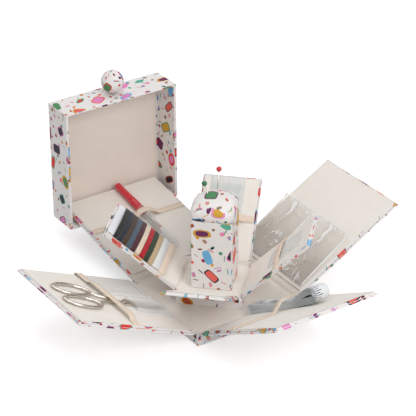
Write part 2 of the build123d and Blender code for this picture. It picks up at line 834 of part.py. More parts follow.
# Thread card with its wound bands
with BuildPart() as thread_card:
    with BuildSketch(moved(inner_left_plane, 0, card_start + card_length / 2, card_bottom)):
        RectangleRounded(card_width, card_length, card_corner)
    extrude(amount=card_thickness)
save(thread_card, "thread_card")

thread_half = card_width / 2 + thread_over
thread_low = card_bottom - thread_under
thread_side = card_top + thread_shoulder

with BuildPart() as thread_bands:
    for band in range(thread_count):
        band_end = thread_start + (band + 1) * thread_pitch - thread_gap
        with BuildSketch(end_plane(inner_left_plane).offset(-band_end)):
            with BuildLine():
                Line((-thread_half, thread_low), (thread_half, thread_low))
                Line((thread_half, thread_low), (thread_half, thread_side))
                ThreePointArc(
                    (thread_half, thread_side),
                    (0, card_top + thread_rise),
                    (-thread_half, thread_side),
                )
                Line((-thread_half, thread_side), (-thread_half, thread_low))
            make_face()
            with Locations((0, (card_bottom + card_top) / 2)):
                Rectangle(card_width + 2 * thread_slot, card_thickness + 2 * thread_slot, mode=Mode.SUBTRACT)
        extrude(amount=thread_pitch - thread_gap)
save(thread_bands, "thread_bands")

# Bag of snap fasteners under the inner back elastic
snap_plane = moved(inner_back_plane, snap_bag_across, snap_bag_along, inner_seat)

with BuildPart() as snap_bag:
    with BuildSketch(snap_plane):
        RectangleRounded(snap_bag_width, snap_bag_length, bag_corner)
    extrude(amount=snap_bag_thickness)
    with BuildSketch(snap_plane.offset(snap_bag_film)):
        Rectangle(snap_bag_width - 2 * snap_bag_seam, snap_bag_length - 2 * snap_bag_seam)
    extrude(amount=snap_bag_thickness - 2 * snap_bag_film, mode=Mode.SUBTRACT)
save(snap_bag, "snap_bag")

with BuildPart() as snap_fasteners:
    with BuildSketch(snap_plane.offset(snap_bag_film)):
        with GridLocations(snap_pitch, snap_pitch, snap_rows, snap_rows):
            Circle(snap_diameter / 2)
    extrude(amount=snap_thickness)
save(snap_fasteners, "snap_fasteners")

# Needle packet under the inner right elastic
with BuildPart() as needle_packet:
    with BuildSketch(moved(inner_right_plane, 0, needle_bag_along, inner_seat)):
        RectangleRounded(needle_bag_width, needle_bag_length, bag_corner)
    extrude(amount=needle_bag_thickness)
save(needle_packet, "needle_packet")
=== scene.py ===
"""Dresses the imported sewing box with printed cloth, cream pads, elastic bands and sewing notions.

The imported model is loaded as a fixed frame. Places on a wall are in millimetres from its fold:
across the wall, along it towards its free edge, and lift to its inner side.
"""

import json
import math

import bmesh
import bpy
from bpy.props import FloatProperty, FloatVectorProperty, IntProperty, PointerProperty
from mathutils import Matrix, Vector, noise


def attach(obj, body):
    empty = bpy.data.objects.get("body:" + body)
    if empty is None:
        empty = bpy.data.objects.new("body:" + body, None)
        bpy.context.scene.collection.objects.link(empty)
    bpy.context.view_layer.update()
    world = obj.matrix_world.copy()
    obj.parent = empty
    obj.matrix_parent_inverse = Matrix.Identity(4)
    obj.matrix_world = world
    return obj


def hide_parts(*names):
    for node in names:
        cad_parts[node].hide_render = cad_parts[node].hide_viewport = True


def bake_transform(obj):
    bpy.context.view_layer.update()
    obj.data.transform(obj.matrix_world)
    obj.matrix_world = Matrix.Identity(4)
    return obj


bl_info = {
    "name": "Fold-Out Sewing Box",
    "version": (1, 0, 0),
    "blender": (4, 5, 0),
    "location": "3D View > Sidebar > Sewing Box",
    "description": "Dresses the packed sewing box with cloth, pads, elastic and notions",
    "category": "Object",
}

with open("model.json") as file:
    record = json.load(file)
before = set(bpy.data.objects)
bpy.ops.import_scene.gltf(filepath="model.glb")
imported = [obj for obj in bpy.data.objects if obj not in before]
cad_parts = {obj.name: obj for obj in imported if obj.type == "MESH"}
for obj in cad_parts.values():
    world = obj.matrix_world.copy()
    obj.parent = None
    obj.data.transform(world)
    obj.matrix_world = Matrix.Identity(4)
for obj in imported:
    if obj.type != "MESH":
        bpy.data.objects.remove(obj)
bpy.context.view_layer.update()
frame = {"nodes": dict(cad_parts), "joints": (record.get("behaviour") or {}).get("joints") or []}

MM = 0.001
UP = Vector((0, 0, 1))
LID_LEAN, POCKET_LEAN = 0.5, 5.0   # degrees that the open lid and the pockets lean
TAPE_START = (4.0, 9.0, 4.7)       # where the folded tape starts on the front wall
CLOTH_THICKNESS = 0.25             # of the strips over the folds
CLOTH_SHIFT = 41.0                 # from one wall's piece of the print to the next wall's
WAVE = 0.314                       # a wave texture's scale times the distance between its bands
SHIFT_ALONG = 0.7                  # share of a piece's shift across its cloth that it also gets along it
INNER_SHIFT = 53.0                 # from a board's outer side to its inner side, on the same cloth
SWELL_SCALE = 20.0                 # times life size, for the cloth simulation
joints = {joint["name"]: joint for joint in frame["joints"]}

# Outer walls and inner walls: the wall's name, and the crown of its pad in millimetres
OUTER_WALLS = [("front", 1.1), ("left", 0.6), ("right", 0.6), ("back", 0.7)]
INNER_WALLS = [("inner_front", 0.6), ("inner_left", 0.5), ("inner_right", 1.4), ("inner_back", 0.5)]

# What lies on each pad and holds its wadding flat
HELD_FLAT = {
    "front": ("front_elastic", "tape_measure"),
    "left": ("left_elastic", "scissors_lower_half", "scissors_upper_half", "zip_bag"),
    "right": ("pocket_near", "pocket_far"),
    "back": ("back_elastic", "ripper_handle", "ripper_cap"),
    "inner_left": ("inner_left_elastic", "thread_card"),
    "inner_back": ("inner_back_elastic", "snap_bag"),
    "inner_right": ("inner_right_elastic", "needle_packet"),
}

# Thread on the card, from the base end to the free end
THREAD_COLOURS = [
    ("white", "#E6E6E4"),
    ("sand", "#C8B08C"),
    ("moss", "#22381F"),
    ("red", "#B8001C"),
    ("cream", "#E6D6C2"),
    ("wine", "#4B1A28"),
    ("slate", "#4C5E6E"),
    ("brown", "#46301F"),
    ("navy", "#142030"),
    ("black", "#0E0E10"),
]

# Colours of the printed motifs
PRINT_COLOURS = [
    "#E8665A", "#5FAE96", "#D2A23A", "#E23B3B", "#6B2A5A",
    "#6FB1DC", "#B5502B", "#E58BC0", "#2B2B3A", "#4E8A5C",
]

# The print's layers: cells in one motif spacing, shift, share of cells with a motif, half length
# and half width of the largest motif as shares of a cell, and the cells' turn in degrees
PRINT_LAYERS = [
    (1.3, 3.3, 0.62, 0.33, 0.05, 63),
    (1.8, 7.9, 0.52, 0.29, 0.22, -29),
    (0.66, 0.5, 0.98, 0.35, 0.27, 17),
]

# A flat band's section with eased corners, in shares of its width and thickness
BAND_SECTION = [(-0.5, -0.38), (-0.49, -0.5), (0.49, -0.5), (0.5, -0.38),
                (0.5, 0.38), (0.49, 0.5), (-0.49, 0.5), (-0.5, 0.38)]

# Lamps: name, place and size in metres, and power in watts
LAMPS = [
    ("key_lamp", (-0.1, -1.5, 1.2), 1.1, 15.0),
    ("top_lamp", (0.0, 0.05, 1.7), 1.2, 5.2),
    ("back_lamp", (0.2, 1.5, 1.4), 1.1, 4.0),
]

# Ticks on the tape: distance apart, reach from the tape's edge, and width, in millimetres
TAPE_TICKS = [(2.2, 5.0, 0.8), (4.4, 8.0, 0.8), (22.0, 12.0, 1.1)]


def linear(hex_colour):
    """An sRGB hex colour as linear red, green and blue."""
    values = [int(hex_colour[i:i + 2], 16) / 255 for i in (1, 3, 5)]
    return tuple(v / 12.92 if v <= 0.04045 else ((v + 0.055) / 1.055) ** 2.4 for v in values)


class Place:
    """A local frame: across, along and lift from an origin, in millimetres."""

    def __init__(self, origin, across, along):
        self.origin = Vector(origin)
        self.across = Vector(across).normalized()
        self.lift = self.across.cross(Vector(along)).normalized()
        self.along = self.lift.cross(self.across)

    def at(self, across, along, lift=0.0):
        return self.origin + (self.across * across + self.along * along + self.lift * lift) * MM

    def local(self, point):
        offset = (Vector(point) - self.origin) / MM
        return Vector((offset.dot(self.across), offset.dot(self.along), offset.dot(self.lift)))

    def box(self, node):
        """Lowest and highest corner of a CAD node in this frame."""
        points = [self.local(vertex.co) for vertex in frame["nodes"][node].data.vertices]
        low = Vector([min(point[i] for point in points) for i in range(3)])
        high = Vector([max(point[i] for point in points) for i in range(3)])
        return low, high


def wall_place(joint_name):
    """A wall's outer face at rest, from the joint that folds it."""
    joint = joints[joint_name]
    out = UP.cross(Vector(joint["axis"]))
    tilt = math.radians(90 - joint["range_deg"][1])
    along = out * math.cos(tilt) + UP * math.sin(tilt)
    return Place(joint["pos_m"], along.cross(UP * math.cos(tilt) - out * math.sin(tilt)), along)


def level_place(joint_name):
    """The base's top edge at a wall's fold: along is level and out of the box."""
    joint = joints[joint_name]
    out = UP.cross(Vector(joint["axis"]))
    return Place(joint["pos_m"], out.cross(UP), out)


def sliding_place(origin, wall, joint_name):
    """A frame on a wall whose along follows a sliding joint."""
    along = Vector(joints[joint_name]["axis"])
    return Place(origin, along.cross(wall.lift), along)


walls = {name: wall_place(name + "_fold") for name, _ in OUTER_WALLS + INNER_WALLS}
levels = {name: level_place(name + "_fold") for name, _ in OUTER_WALLS + INNER_WALLS}
ground = Place((0, 0, 0), (1, 0, 0), (0, 1, 0))
inner_ground = Place((0, 0, 0), levels["inner_front"].across, levels["inner_front"].along)
lean = math.radians(LID_LEAN)
lid = Place(joints["lid_turn"]["pos_m"], (1, 0, 0), (0, math.sin(lean), math.cos(lean)))
scissors = sliding_place(joints["scissors_open"]["pos_m"], walls["left"], "scissors_draw")
tape = sliding_place(walls["front"].at(*TAPE_START), walls["front"], "tape_draw")


def colour_setting(name, description, hex_colour):
    """A colour that the user can change."""
    return FloatVectorProperty(name=name, description=description, subtype="COLOR", size=3,
                               min=0, max=1, default=linear(hex_colour))


def length_setting(name, description, millimetres):
    """A length that the user can change."""
    return FloatProperty(name=name, description=description + ", in metres", subtype="DISTANCE",
                         default=millimetres * MM)


class ClothSettings(bpy.types.PropertyGroup):
    """Sizes and colours of the cloths."""

    print_ground: colour_setting(
        "Print ground", "Colour of the printed cotton between its motifs", "#EAE6E4")
    motif_cell: length_setting("Motif spacing", "Distance between the larger motifs", 17.0)
    lining: colour_setting("Lining", "Colour of the pads' cotton", "#ECE6DE")
    lid_lining: colour_setting("Lid lining", "Colour of the lid's inside", "#E6DAD0")
    elastic: colour_setting("Elastic", "Colour of the elastic bands", "#E9D6C3")
    board_edge: length_setting("Board edge", "Radius of the cloth turned over a board's edge", 0.8)


class NotionSettings(bpy.types.PropertyGroup):
    """Sizes and colours of the sewing notions."""

    steel: colour_setting("Scissors", "Colour of the nickel-plated scissors", "#DCD5CB")
    ripper: colour_setting("Seam ripper", "Colour of its handle", "#CC1430")
    tape_face: colour_setting("Tape measure", "Colour of its printed face", "#E4E7EA")
    tape_turns: IntProperty(
        name="Tape turns", description="Layers on each side of the folded tape", default=6)
    thread_turns: IntProperty(
        name="Thread turns", description="Turns that show in each band of thread", default=11)
    thread_thickness: length_setting("Thread", "Thickness of one drawn thread", 0.56)


class StageSettings(bpy.types.PropertyGroup):
    """Camera, lamps and floor."""

    camera_place: FloatVectorProperty(
        name="Camera", description="Where the camera stands",
        subtype="XYZ", size=3, default=(-0.90431, -1.32370, 0.99929))
    camera_azimuth: FloatProperty(
        name="Azimuth", description="Which side the camera looks from, in degrees", default=-34.1)
    camera_elevation: FloatProperty(
        name="Elevation", description="How far it looks down, in degrees", default=29.11)
    lens: FloatProperty(name="Lens", description="Focal length in millimetres", default=161.95)
    floor: colour_setting("Floor", "Colour of the floor", "#E8E8E8")


def settings(name):
    return getattr(bpy.context.scene, "sewing_box_" + name)


def add_node(tree, kind, inputs=None, to=None, **options):
    """Adds a node with its settings, sets or links its inputs, and links its first output on.

    A shader node's kind comes without ShaderNode in front of it. An input is given a value, a
    socket, or a node that stands for its own first output.
    """
    made = tree.nodes.new(kind if "Node" in kind else "ShaderNode" + kind)
    for option, value in options.items():
        setattr(made, option, value)
    for socket, value in (inputs or {}).items():
        if isinstance(value, bpy.types.Node):
            value = value.outputs[0]
        if isinstance(value, bpy.types.NodeSocket):
            tree.links.new(value, made.inputs[socket])
        else:
            made.inputs[socket].default_value = value
    if to is not None:
        tree.links.new(made.outputs[0], to)
    return made


def new_tree(name, kind, given, made):
    """An empty node group; given and made name its inputs and outputs, each with its type."""
    tree = bpy.data.node_groups.new(name, kind)
    for direction, sockets in (("INPUT", given), ("OUTPUT", made)):
        for socket, sort in sockets.items():
            tree.interface.new_socket(socket, in_out=direction, socket_type="NodeSocket" + sort)
    return tree


def new_material(name, colour, **surface):
    """A material with one Principled shader; surface gives its inputs by name."""
    material = bpy.data.materials.new(name)
    material.use_nodes = True
    shader = material.node_tree.nodes["Principled BSDF"]
    shader.inputs["Base Color"].default_value = (*colour, 1)
    for socket, value in surface.items():
        shader.inputs[socket.replace("_", " ")].default_value = value
    return material, material.node_tree, shader


def stored(make, name=None):
    """The material that a function makes, made once and then shared."""
    name = name or make.__name__
    return bpy.data.materials.get(name) or make(name)


def shaded(tree, shader, value, low, high, top=1.0, colour=None):
    """Shades the material's colour, or another, from low to high as the value goes from 0 to top."""
    if colour is None:
        colour = tuple(shader.inputs["Base Color"].default_value)
    shade = add_node(tree, "MapRange", {"Value": value, "From Max": top, "To Min": low, "To Max": high})
    mixed = add_node(tree, "Mix", {0: 1.0, 6: colour, 7: shade}, data_type="RGBA", blend_type="MULTIPLY")
    tree.links.new(mixed.outputs[2], shader.inputs["Base Color"])


def mottled(tree, shader, place, scale, detail, low, high, colour=None):
    """Shades the colour from low to high in soft patches, as many to a metre as the scale says."""
    patches = add_node(tree, "TexNoise", {"Vector": place, "Scale": scale, "Detail": detail})
    shaded(tree, shader, patches, low, high, colour=colour)


def weave_bump(tree, shader, surface, spacing, strength):
    """A plain weave's bump; real threads lie 0.3 mm apart and are drawn coarser so that they show."""
    warp, weft = (add_node(tree, "TexWave",
                           {"Vector": surface, "Scale": WAVE / spacing, "Distortion": 0.6, "Detail": 1.0},
                           bands_direction=direction).outputs["Fac"] for direction in ("X", "Y"))
    woven = add_node(tree, "Math", {0: warp, 1: weft}, operation="ADD")
    add_node(tree, "Bump", {"Strength": strength, "Distance": 0.12 * MM, "Height": woven},
             to=shader.inputs["Normal"])


def scattered_motifs():
    """A group that scatters rounded motifs over the cloth, one to a cell, each turned and shifted."""
    found = bpy.data.node_groups.get("scattered_motifs")
    if found:
        return found
    tree = new_tree("scattered_motifs", "ShaderNodeTree",
                    {"Cloth": "Vector", "Cells": "Float", "Shift": "Float", "Share": "Float",
                     "Length": "Float", "Width": "Float"},
                    {"Motif": "Float", "Tint": "Float", "Inside": "Float", "Second": "Float"})
    given = add_node(tree, "NodeGroupInput").outputs
    scaled = add_node(tree, "VectorMath", {0: given["Cloth"], "Scale": given["Cells"]},
                      operation="SCALE")
    shifted = add_node(tree, "VectorMath", {0: scaled, 1: given["Shift"]}, operation="ADD")
    cell = add_node(tree, "VectorMath", {0: shifted}, operation="FLOOR")
    inside = add_node(tree, "VectorMath", {0: shifted}, operation="FRACTION")
    # Two draws for each cell: one for place, tint and presence, one for turn, size and form
    chance = add_node(tree, "TexWhiteNoise", {"Vector": cell}, noise_dimensions="3D")
    other_cell = add_node(tree, "VectorMath", {0: cell, 1: (31.7, 12.3, 5.1)}, operation="ADD")
    other = add_node(tree, "TexWhiteNoise", {"Vector": other_cell}, noise_dimensions="3D")
    # A motif's middle, kept in the middle third of its cell so that it doesn't leave it
    jitter = add_node(tree, "VectorMath",
                      {0: chance.outputs["Color"], 1: (0.34, 0.34, 0.0), 2: (0.33, 0.33, 0.0)},
                      operation="MULTIPLY_ADD")
    centred = add_node(tree, "VectorMath", {0: inside, 1: jitter}, operation="SUBTRACT")
    angle = add_node(tree, "Math", {0: other, 1: 2 * math.pi}, operation="MULTIPLY")
    turned_spot = add_node(tree, "VectorRotate", {"Vector": centred, "Angle": angle},
                           rotation_type="Z_AXIS")
    spot = add_node(tree, "SeparateXYZ", {0: turned_spot})
    forms = add_node(tree, "SeparateXYZ", {0: other.outputs["Color"]})
    # The power of the outline goes from a pointed leaf to a squarish bar
    power = add_node(tree, "MapRange", {"Value": forms.outputs[2], "To Min": 1.3, "To Max": 5.0})
    terms = []
    for axis, smallest, largest in ((0, 0.55, "Length"), (1, 0.45, "Width")):
        size = add_node(tree, "MapRange",
                        {"Value": forms.outputs[axis], "To Min": smallest, "To Max": 1.0})
        half = add_node(tree, "Math", {0: size, 1: given[largest]}, operation="MULTIPLY")
        away = add_node(tree, "Math", {0: spot.outputs[axis]}, operation="ABSOLUTE")
        share = add_node(tree, "Math", {0: away, 1: half}, operation="DIVIDE")
        terms.append(add_node(tree, "Math", {0: share, 1: power}, operation="POWER"))
    reach = add_node(tree, "Math", {0: terms[0], 1: terms[1]}, operation="ADD")
    covered = add_node(tree, "Math", {0: reach, 1: 1.0}, operation="LESS_THAN")
    # The inner part of a motif has a tint of its own
    core = add_node(tree, "Math", {0: reach, 1: 0.42}, operation="LESS_THAN")
    chosen = add_node(tree, "Math", {0: chance, 1: given["Share"]}, operation="LESS_THAN")
    motif = add_node(tree, "Math", {0: covered, 1: chosen}, operation="MULTIPLY")
    tints = add_node(tree, "SeparateXYZ", {0: chance.outputs["Color"]})
    add_node(tree, "NodeGroupOutput",
             {"Motif": motif, "Tint": tints, "Inside": core, "Second": tints.outputs[1]})
    return tree


def printed_cotton(name):
    """Plain-weave cotton with a scattered print, glued on card: matt, with motifs of 5 to 14 mm."""
    cloth = settings("cloth")
    material, tree, shader = new_material(name, cloth.print_ground, Roughness=0.72, Specular_IOR_Level=0.35)
    surface = add_node(tree, "UVMap", uv_map="cloth")
    shown = (*cloth.print_ground, 1)
    for finer, shift, share, length, width, turn in PRINT_LAYERS:
        skewed = add_node(tree, "VectorRotate", {"Vector": surface, "Angle": math.radians(turn)},
                          rotation_type="Z_AXIS")
        motifs = add_node(tree, "Group",
                          {"Cloth": skewed, "Cells": finer / cloth.motif_cell, "Shift": shift,
                           "Share": share, "Length": length, "Width": width},
                          node_tree=scattered_motifs()).outputs
        tints = []
        for tint, order in (("Tint", PRINT_COLOURS), ("Second", PRINT_COLOURS[::-1])):
            ramp = add_node(tree, "ValToRGB", {0: motifs[tint]})
            ramp.color_ramp.interpolation = "CONSTANT"
            stops = ramp.color_ramp.elements
            for i, hex_colour in enumerate(order):
                stop = stops.new(i / len(order)) if i else stops[0]
                stop.color = (*linear(hex_colour), 1)
            tints.append(ramp)
        two = add_node(tree, "Mix", {0: motifs["Inside"], 6: tints[0], 7: tints[1]},
                       data_type="RGBA").outputs[2]
        shown = add_node(tree, "Mix", {0: motifs["Motif"], 6: shown, 7: two},
                         data_type="RGBA").outputs[2]
    mottled(tree, shader, surface, 90.0, 3.0, 0.93, 1.03, shown)
    weave_bump(tree, shader, surface, 1.1 * MM, 0.16)
    return material


def plain_cotton(name, colour):
    """Undyed cotton lining over wadding: matt, a soft sheen and a fine weave."""
    material, tree, shader = new_material(name, colour, Roughness=0.86, Specular_IOR_Level=0.25,
                                          Sheen_Weight=0.25, Sheen_Roughness=0.5)
    surface = add_node(tree, "UVMap", uv_map="cloth")
    mottled(tree, shader, surface, 60.0, 4.0, 0.95, 1.04)
    weave_bump(tree, shader, surface, 0.9 * MM, 0.22)
    return material


def lining_cotton(name):
    return plain_cotton(name, settings("cloth").lining)


def lid_cotton(name):
    return plain_cotton(name, settings("cloth").lid_lining)


def painted_seam_shade(name):
    """Painted shade in the depth of a pad's seam: grey-brown cotton, so the seam reads as a dark line."""
    return plain_cotton(name, linear("#6E6259"))


def woven_elastic(name):
    """Flat braided elastic: rubber cords under cotton, so fine ribs run its length."""
    material, tree, shader = new_material(name, settings("cloth").elastic, Roughness=0.7, Sheen_Weight=0.15)
    surface = add_node(tree, "UVMap", uv_map="cloth")
    ribs, picks = (add_node(tree, "TexWave", {"Vector": surface, "Scale": WAVE / (spacing * MM)},
                            bands_direction=direction).outputs["Fac"]
                   for spacing, direction in ((0.8, "X"), (0.6, "Y")))
    both = add_node(tree, "Math", {0: picks, 1: 0.4, 2: ribs}, operation="MULTIPLY_ADD")
    shaded(tree, shader, both, 0.88, 1.04, top=1.4)
    add_node(tree, "Bump", {"Strength": 0.5, "Distance": 0.15 * MM, "Height": both},
             to=shader.inputs["Normal"])
    return material


def nickel_plate(name):
    """Nickel-plated steel, polished: a warm mirror with faint rub marks."""
    material, tree, shader = new_material(name, settings("notions").steel, Metallic=1.0)
    place = add_node(tree, "TexCoord").outputs["Object"]
    rub = add_node(tree, "TexNoise", {"Vector": place, "Scale": 900.0, "Detail": 3.0})
    add_node(tree, "MapRange", {"Value": rub, "To Min": 0.07, "To Max": 0.2},
             to=shader.inputs["Roughness"])
    return material


def creased_film(name, colour, flat, creased, clear_end=0.0):
    """Polythene film with white painted on its creases as highlights; flat and creased are its opacities
    between and on them.

    From its middle to its mouth the film grows clearer, over clear_end metres; in the pockets this is a
    painted shade, darkest towards the bottom.
    """
    material, tree, shader = new_material(name, colour, Roughness=0.12, IOR=1.5, Specular_IOR_Level=0.4)
    surface = add_node(tree, "UVMap", uv_map="cloth")
    place = add_node(tree, "TexCoord").outputs["Object"]
    drawn = add_node(tree, "VectorMath", {0: surface, 1: (1.0, 0.45, 1.0)}, operation="MULTIPLY")
    mixed = add_node(tree, "VectorMath", {0: drawn, 1: place}, operation="ADD")
    creases = add_node(tree, "TexNoise",
                       {"Vector": mixed, "Scale": 42.0, "Detail": 2.0, "Distortion": 0.9})
    # A crease is where this noise crosses its middle value, and only in some patches; there a white
    # highlight is painted
    ridge = add_node(tree, "Math", {0: creases, 1: 0.5}, operation="SUBTRACT")
    sharp = add_node(tree, "Math", {0: ridge}, operation="ABSOLUTE")
    share = add_node(tree, "MapRange", {"Value": sharp, "From Max": 0.034, "To Min": 1.0, "To Max": 0.0})
    where = add_node(tree, "TexNoise", {"Vector": place, "Scale": 26.0})
    chosen = add_node(tree, "MapRange", {"Value": where, "From Min": 0.46, "From Max": 0.56})
    white = add_node(tree, "Math", {0: share, 1: chosen}, operation="MULTIPLY")
    spot = add_node(tree, "SeparateXYZ", {0: surface})
    if clear_end:
        # One broad painted glare, a white highlight in a wedge that opens towards the mouth
        sideways = add_node(tree, "MapRange", {"Value": where, "From Min": 0.3, "From Max": 0.7,
                                               "To Min": -4 * MM, "To Max": 12 * MM})
        offset = add_node(tree, "Math", {0: spot, 1: sideways}, operation="ADD")
        away = add_node(tree, "Math", {0: offset}, operation="ABSOLUTE")
        reach = add_node(tree, "MapRange",
                         {"Value": spot.outputs[1], "From Min": -20 * MM, "From Max": 34 * MM,
                          "To Min": -1 * MM, "To Max": 5.5 * MM})
        inside = add_node(tree, "Math", {0: reach, 1: away}, operation="SUBTRACT")
        glare = add_node(tree, "MapRange", {"Value": inside, "From Max": 3 * MM, "To Max": 0.85})
        white = add_node(tree, "Math", {0: white, 1: glare}, operation="MAXIMUM")
    # Opacity falls from the bottom towards the mouth: in the pockets, a painted shade
    fade = add_node(tree, "MapRange", {"Value": spot.outputs[1], "From Min": -0.01,
                                       "From Max": clear_end or 1.0, "To Min": flat, "To Max": 0.04})
    # Where a painted highlight lies, the film is whiter and more opaque
    add_node(tree, "Mix", {0: white, 2: fade, 3: creased}, to=shader.inputs["Alpha"])
    tint = add_node(tree, "Mix", {0: white, 6: (*colour, 1), 7: (1, 1, 1, 1)}, data_type="RGBA")
    tree.links.new(tint.outputs[2], shader.inputs["Base Color"])
    add_node(tree, "Bump", {"Strength": 0.5, "Distance": 0.9 * MM, "Height": creases},
             to=shader.inputs["Normal"])
    return material


def clear_film(name):
    """Thin clear polythene of the bags: nearly unseen flat on, with white highlights painted on its
    creases.
    """
    return creased_film(name, linear("#DDD3C8"), 0.03, 0.36)


def pocket_film_with_painted_shade(name):
    """Heavier polythene of the pockets, tinted grey-beige as a painted shade: it greys the cloth behind it,
    less so at the mouth.
    """
    return creased_film(name, linear("#A2978D"), 0.2, 0.85, 0.026)


def film_edge_highlight(name):
    """Welded or cut edge of the clear film in near-white: partly the thicker film's own whiteness, partly a
    painted highlight.
    """
    return new_material(name, linear("#F7F8F8"), Roughness=0.12, IOR=1.5, Alpha=0.85)[0]


def clear_styrene(name):
    """Moulded clear polystyrene: glossy, and grey-white on edge."""
    return new_material(name, linear("#DDE2E4"), Roughness=0.16, IOR=1.59, Alpha=0.14)[0]


def clear_plastic(name):
    """Moulded clear plastic of the snap fasteners: milky where it is thick."""
    return new_material(name, linear("#D3DED5"), Roughness=0.08, Alpha=0.8)[0]


def coated_tape(name):
    """Coated glass-fibre tape: satin, its ticks drawn 2.2 mm apart instead of 1 mm so that they show."""
    colour = settings("notions").tape_face
    material, tree, shader = new_material(name, colour, Roughness=0.45)
    surface = add_node(tree, "UVMap", uv_map="cloth")
    spot = add_node(tree, "SeparateXYZ", {0: surface})
    # The edge with the ticks lies 17.5 mm round the tape's section from where its cloth starts
    from_edge = add_node(tree, "Math", {0: spot, 1: 17.5 * MM}, operation="SUBTRACT")
    depth = add_node(tree, "Math", {0: from_edge}, operation="ABSOLUTE")
    marks = 0.0
    for spacing, reach, width in TAPE_TICKS:
        share = add_node(tree, "Math", {0: spot.outputs[1], 1: spacing * MM}, operation="MODULO")
        line = add_node(tree, "Math", {0: share, 1: width * MM}, operation="LESS_THAN")
        near = add_node(tree, "Math", {0: depth, 1: reach * MM}, operation="LESS_THAN")
        mark = add_node(tree, "Math", {0: line, 1: near}, operation="MULTIPLY")
        marks = add_node(tree, "Math", {0: marks, 1: mark}, operation="MAXIMUM")
    printed = add_node(tree, "Mix", {0: marks, 6: (*colour, 1), 7: (*linear("#23262B"), 1)},
                       data_type="RGBA")
    tree.links.new(printed.outputs[2], shader.inputs["Base Color"])
    weave = add_node(tree, "TexNoise", {"Vector": surface, "Scale": 2500.0})
    add_node(tree, "Bump", {"Strength": 0.2, "Distance": 0.05 * MM, "Height": weave},
             to=shader.inputs["Normal"])
    return material


def tape_ink(name):
    """Printing ink on the coated tape: near black, satin."""
    return new_material(name, linear("#2A2D31"), Roughness=0.4)[0]


def tape_edge(name):
    """The tape's cut edge and back: pale grey, with the fibres showing as fine flecks."""
    material, tree, shader = new_material(name, linear("#DCE1E4"), Roughness=0.6)
    place = add_node(tree, "TexCoord").outputs["Object"]
    mottled(tree, shader, place, 1400.0, 3.0, 0.93, 1.05)
    return material


def moulded_red(name):
    """Moulded polystyrene: glossy, with the faint unevenness of its mould."""
    material, tree, shader = new_material(name, settings("notions").ripper, Roughness=0.22, IOR=1.59,
                                          Coat_Weight=0.3)
    place = add_node(tree, "TexCoord").outputs["Object"]
    flow = add_node(tree, "TexNoise", {"Vector": place, "Scale": 260.0})
    add_node(tree, "Bump", {"Strength": 0.08, "Distance": 0.2 * MM, "Height": flow},
             to=shader.inputs["Normal"])
    return material


def spun_thread(colour):
    """Spun polyester thread: matt, with a fuzz that lightens its edges."""
    def make(name):
        material, tree, shader = new_material(name, colour, Roughness=0.75, Sheen_Weight=0.35,
                                              Sheen_Roughness=0.4)
        place = add_node(tree, "TexCoord").outputs["Object"]
        mottled(tree, shader, place, 1800.0, 2.0, 0.7, 1.25)
        return material
    return make


def coated_card(name):
    """White card with a light gloss and faint fibres."""
    material, tree, shader = new_material(name, linear("#E9EAEE"), Roughness=0.5)
    place = add_node(tree, "TexCoord").outputs["Object"]
    mottled(tree, shader, place, 700.0, 4.0, 0.95, 1.03)
    return material


def glass_head(colour):
    """Glass pin head: a coloured bead with a hard highlight."""
    def make(name):
        return new_material(name, colour, Roughness=0.05, Coat_Weight=0.6, IOR=1.52)[0]
    return make


def new_object(name, data):
    """An object at the scene's origin."""
    made = bpy.data.objects.new(name, data)
    bpy.context.scene.collection.objects.link(made)
    return made


def make_piece(name, points, faces, corners, material, smooth=True):
    """A mesh piece; corners holds one place on the cloth, in metres, for each corner of each face."""
    mesh = bpy.data.meshes.new(name)
    mesh.from_pydata([tuple(point) for point in points], [], faces)
    layer = mesh.uv_layers.new(name="cloth")
    for loop, corner in zip(layer.data, corners):
        loop.uv = corner
    for polygon in mesh.polygons:
        polygon.use_smooth = smooth
    mesh.materials.append(material)
    mesh.validate()
    return new_object(name, mesh)


def turn_outwards(piece):
    """Recalculates the normals of a closed piece."""
    shape = bmesh.new()
    shape.from_mesh(piece.data)
    bmesh.ops.recalc_face_normals(shape, faces=shape.faces)
    shape.to_mesh(piece.data)
    shape.free()
    return piece


def loft(name, rows, material, round_rows=False, round_path=False, caps=False, smooth=True):
    """A skin over rows of points in metres, with its cloth laid along the rows and the path."""
    count, total = len(rows[0]), len(rows)
    u, v = [0.0], [0.0]
    middle = rows[total // 2]
    for j in range(count):
        u.append(u[-1] + (Vector(middle[(j + 1) % count]) - Vector(middle[j])).length)
    for i in range(total):
        v.append(v[-1] + (Vector(rows[(i + 1) % total][0]) - Vector(rows[i][0])).length)
    faces, corners = [], []
    for i in range(total if round_path else total - 1):
        for j in range(count if round_rows else count - 1):
            near, far = i * count, (i + 1) % total * count
            faces.append((near + j, near + (j + 1) % count, far + (j + 1) % count, far + j))
            corners += [(u[j], v[i]), (u[j + 1], v[i]), (u[j + 1], v[i + 1]), (u[j], v[i + 1])]
    if caps:
        for row in (range(count - 1, -1, -1), range((total - 1) * count, total * count)):
            faces.append(tuple(row))
            corners += [(0.0, 0.0)] * count
    piece = make_piece(name, [point for row in rows for point in row], faces, corners, material, smooth)
    return turn_outwards(piece) if round_rows else piece


def finish(piece, body, node):
    """Puts a piece on its body in place of a CAD node, which it hides."""
    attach(piece, body)
    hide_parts(node)


def bake(piece):
    """Turns a piece with modifiers into a plain mesh."""
    evaluated = piece.evaluated_get(bpy.context.evaluated_depsgraph_get())
    mesh = bpy.data.meshes.new_from_object(evaluated)
    piece.modifiers.clear()
    piece.data = mesh
    return piece


def thickened(strip):
    """Gives a strip of cloth its thickness, half of it to each side."""
    solid = strip.modifiers.new("cloth_thickness", "SOLIDIFY")
    solid.thickness, solid.offset = CLOTH_THICKNESS * MM, 0.0
    return bake(strip)


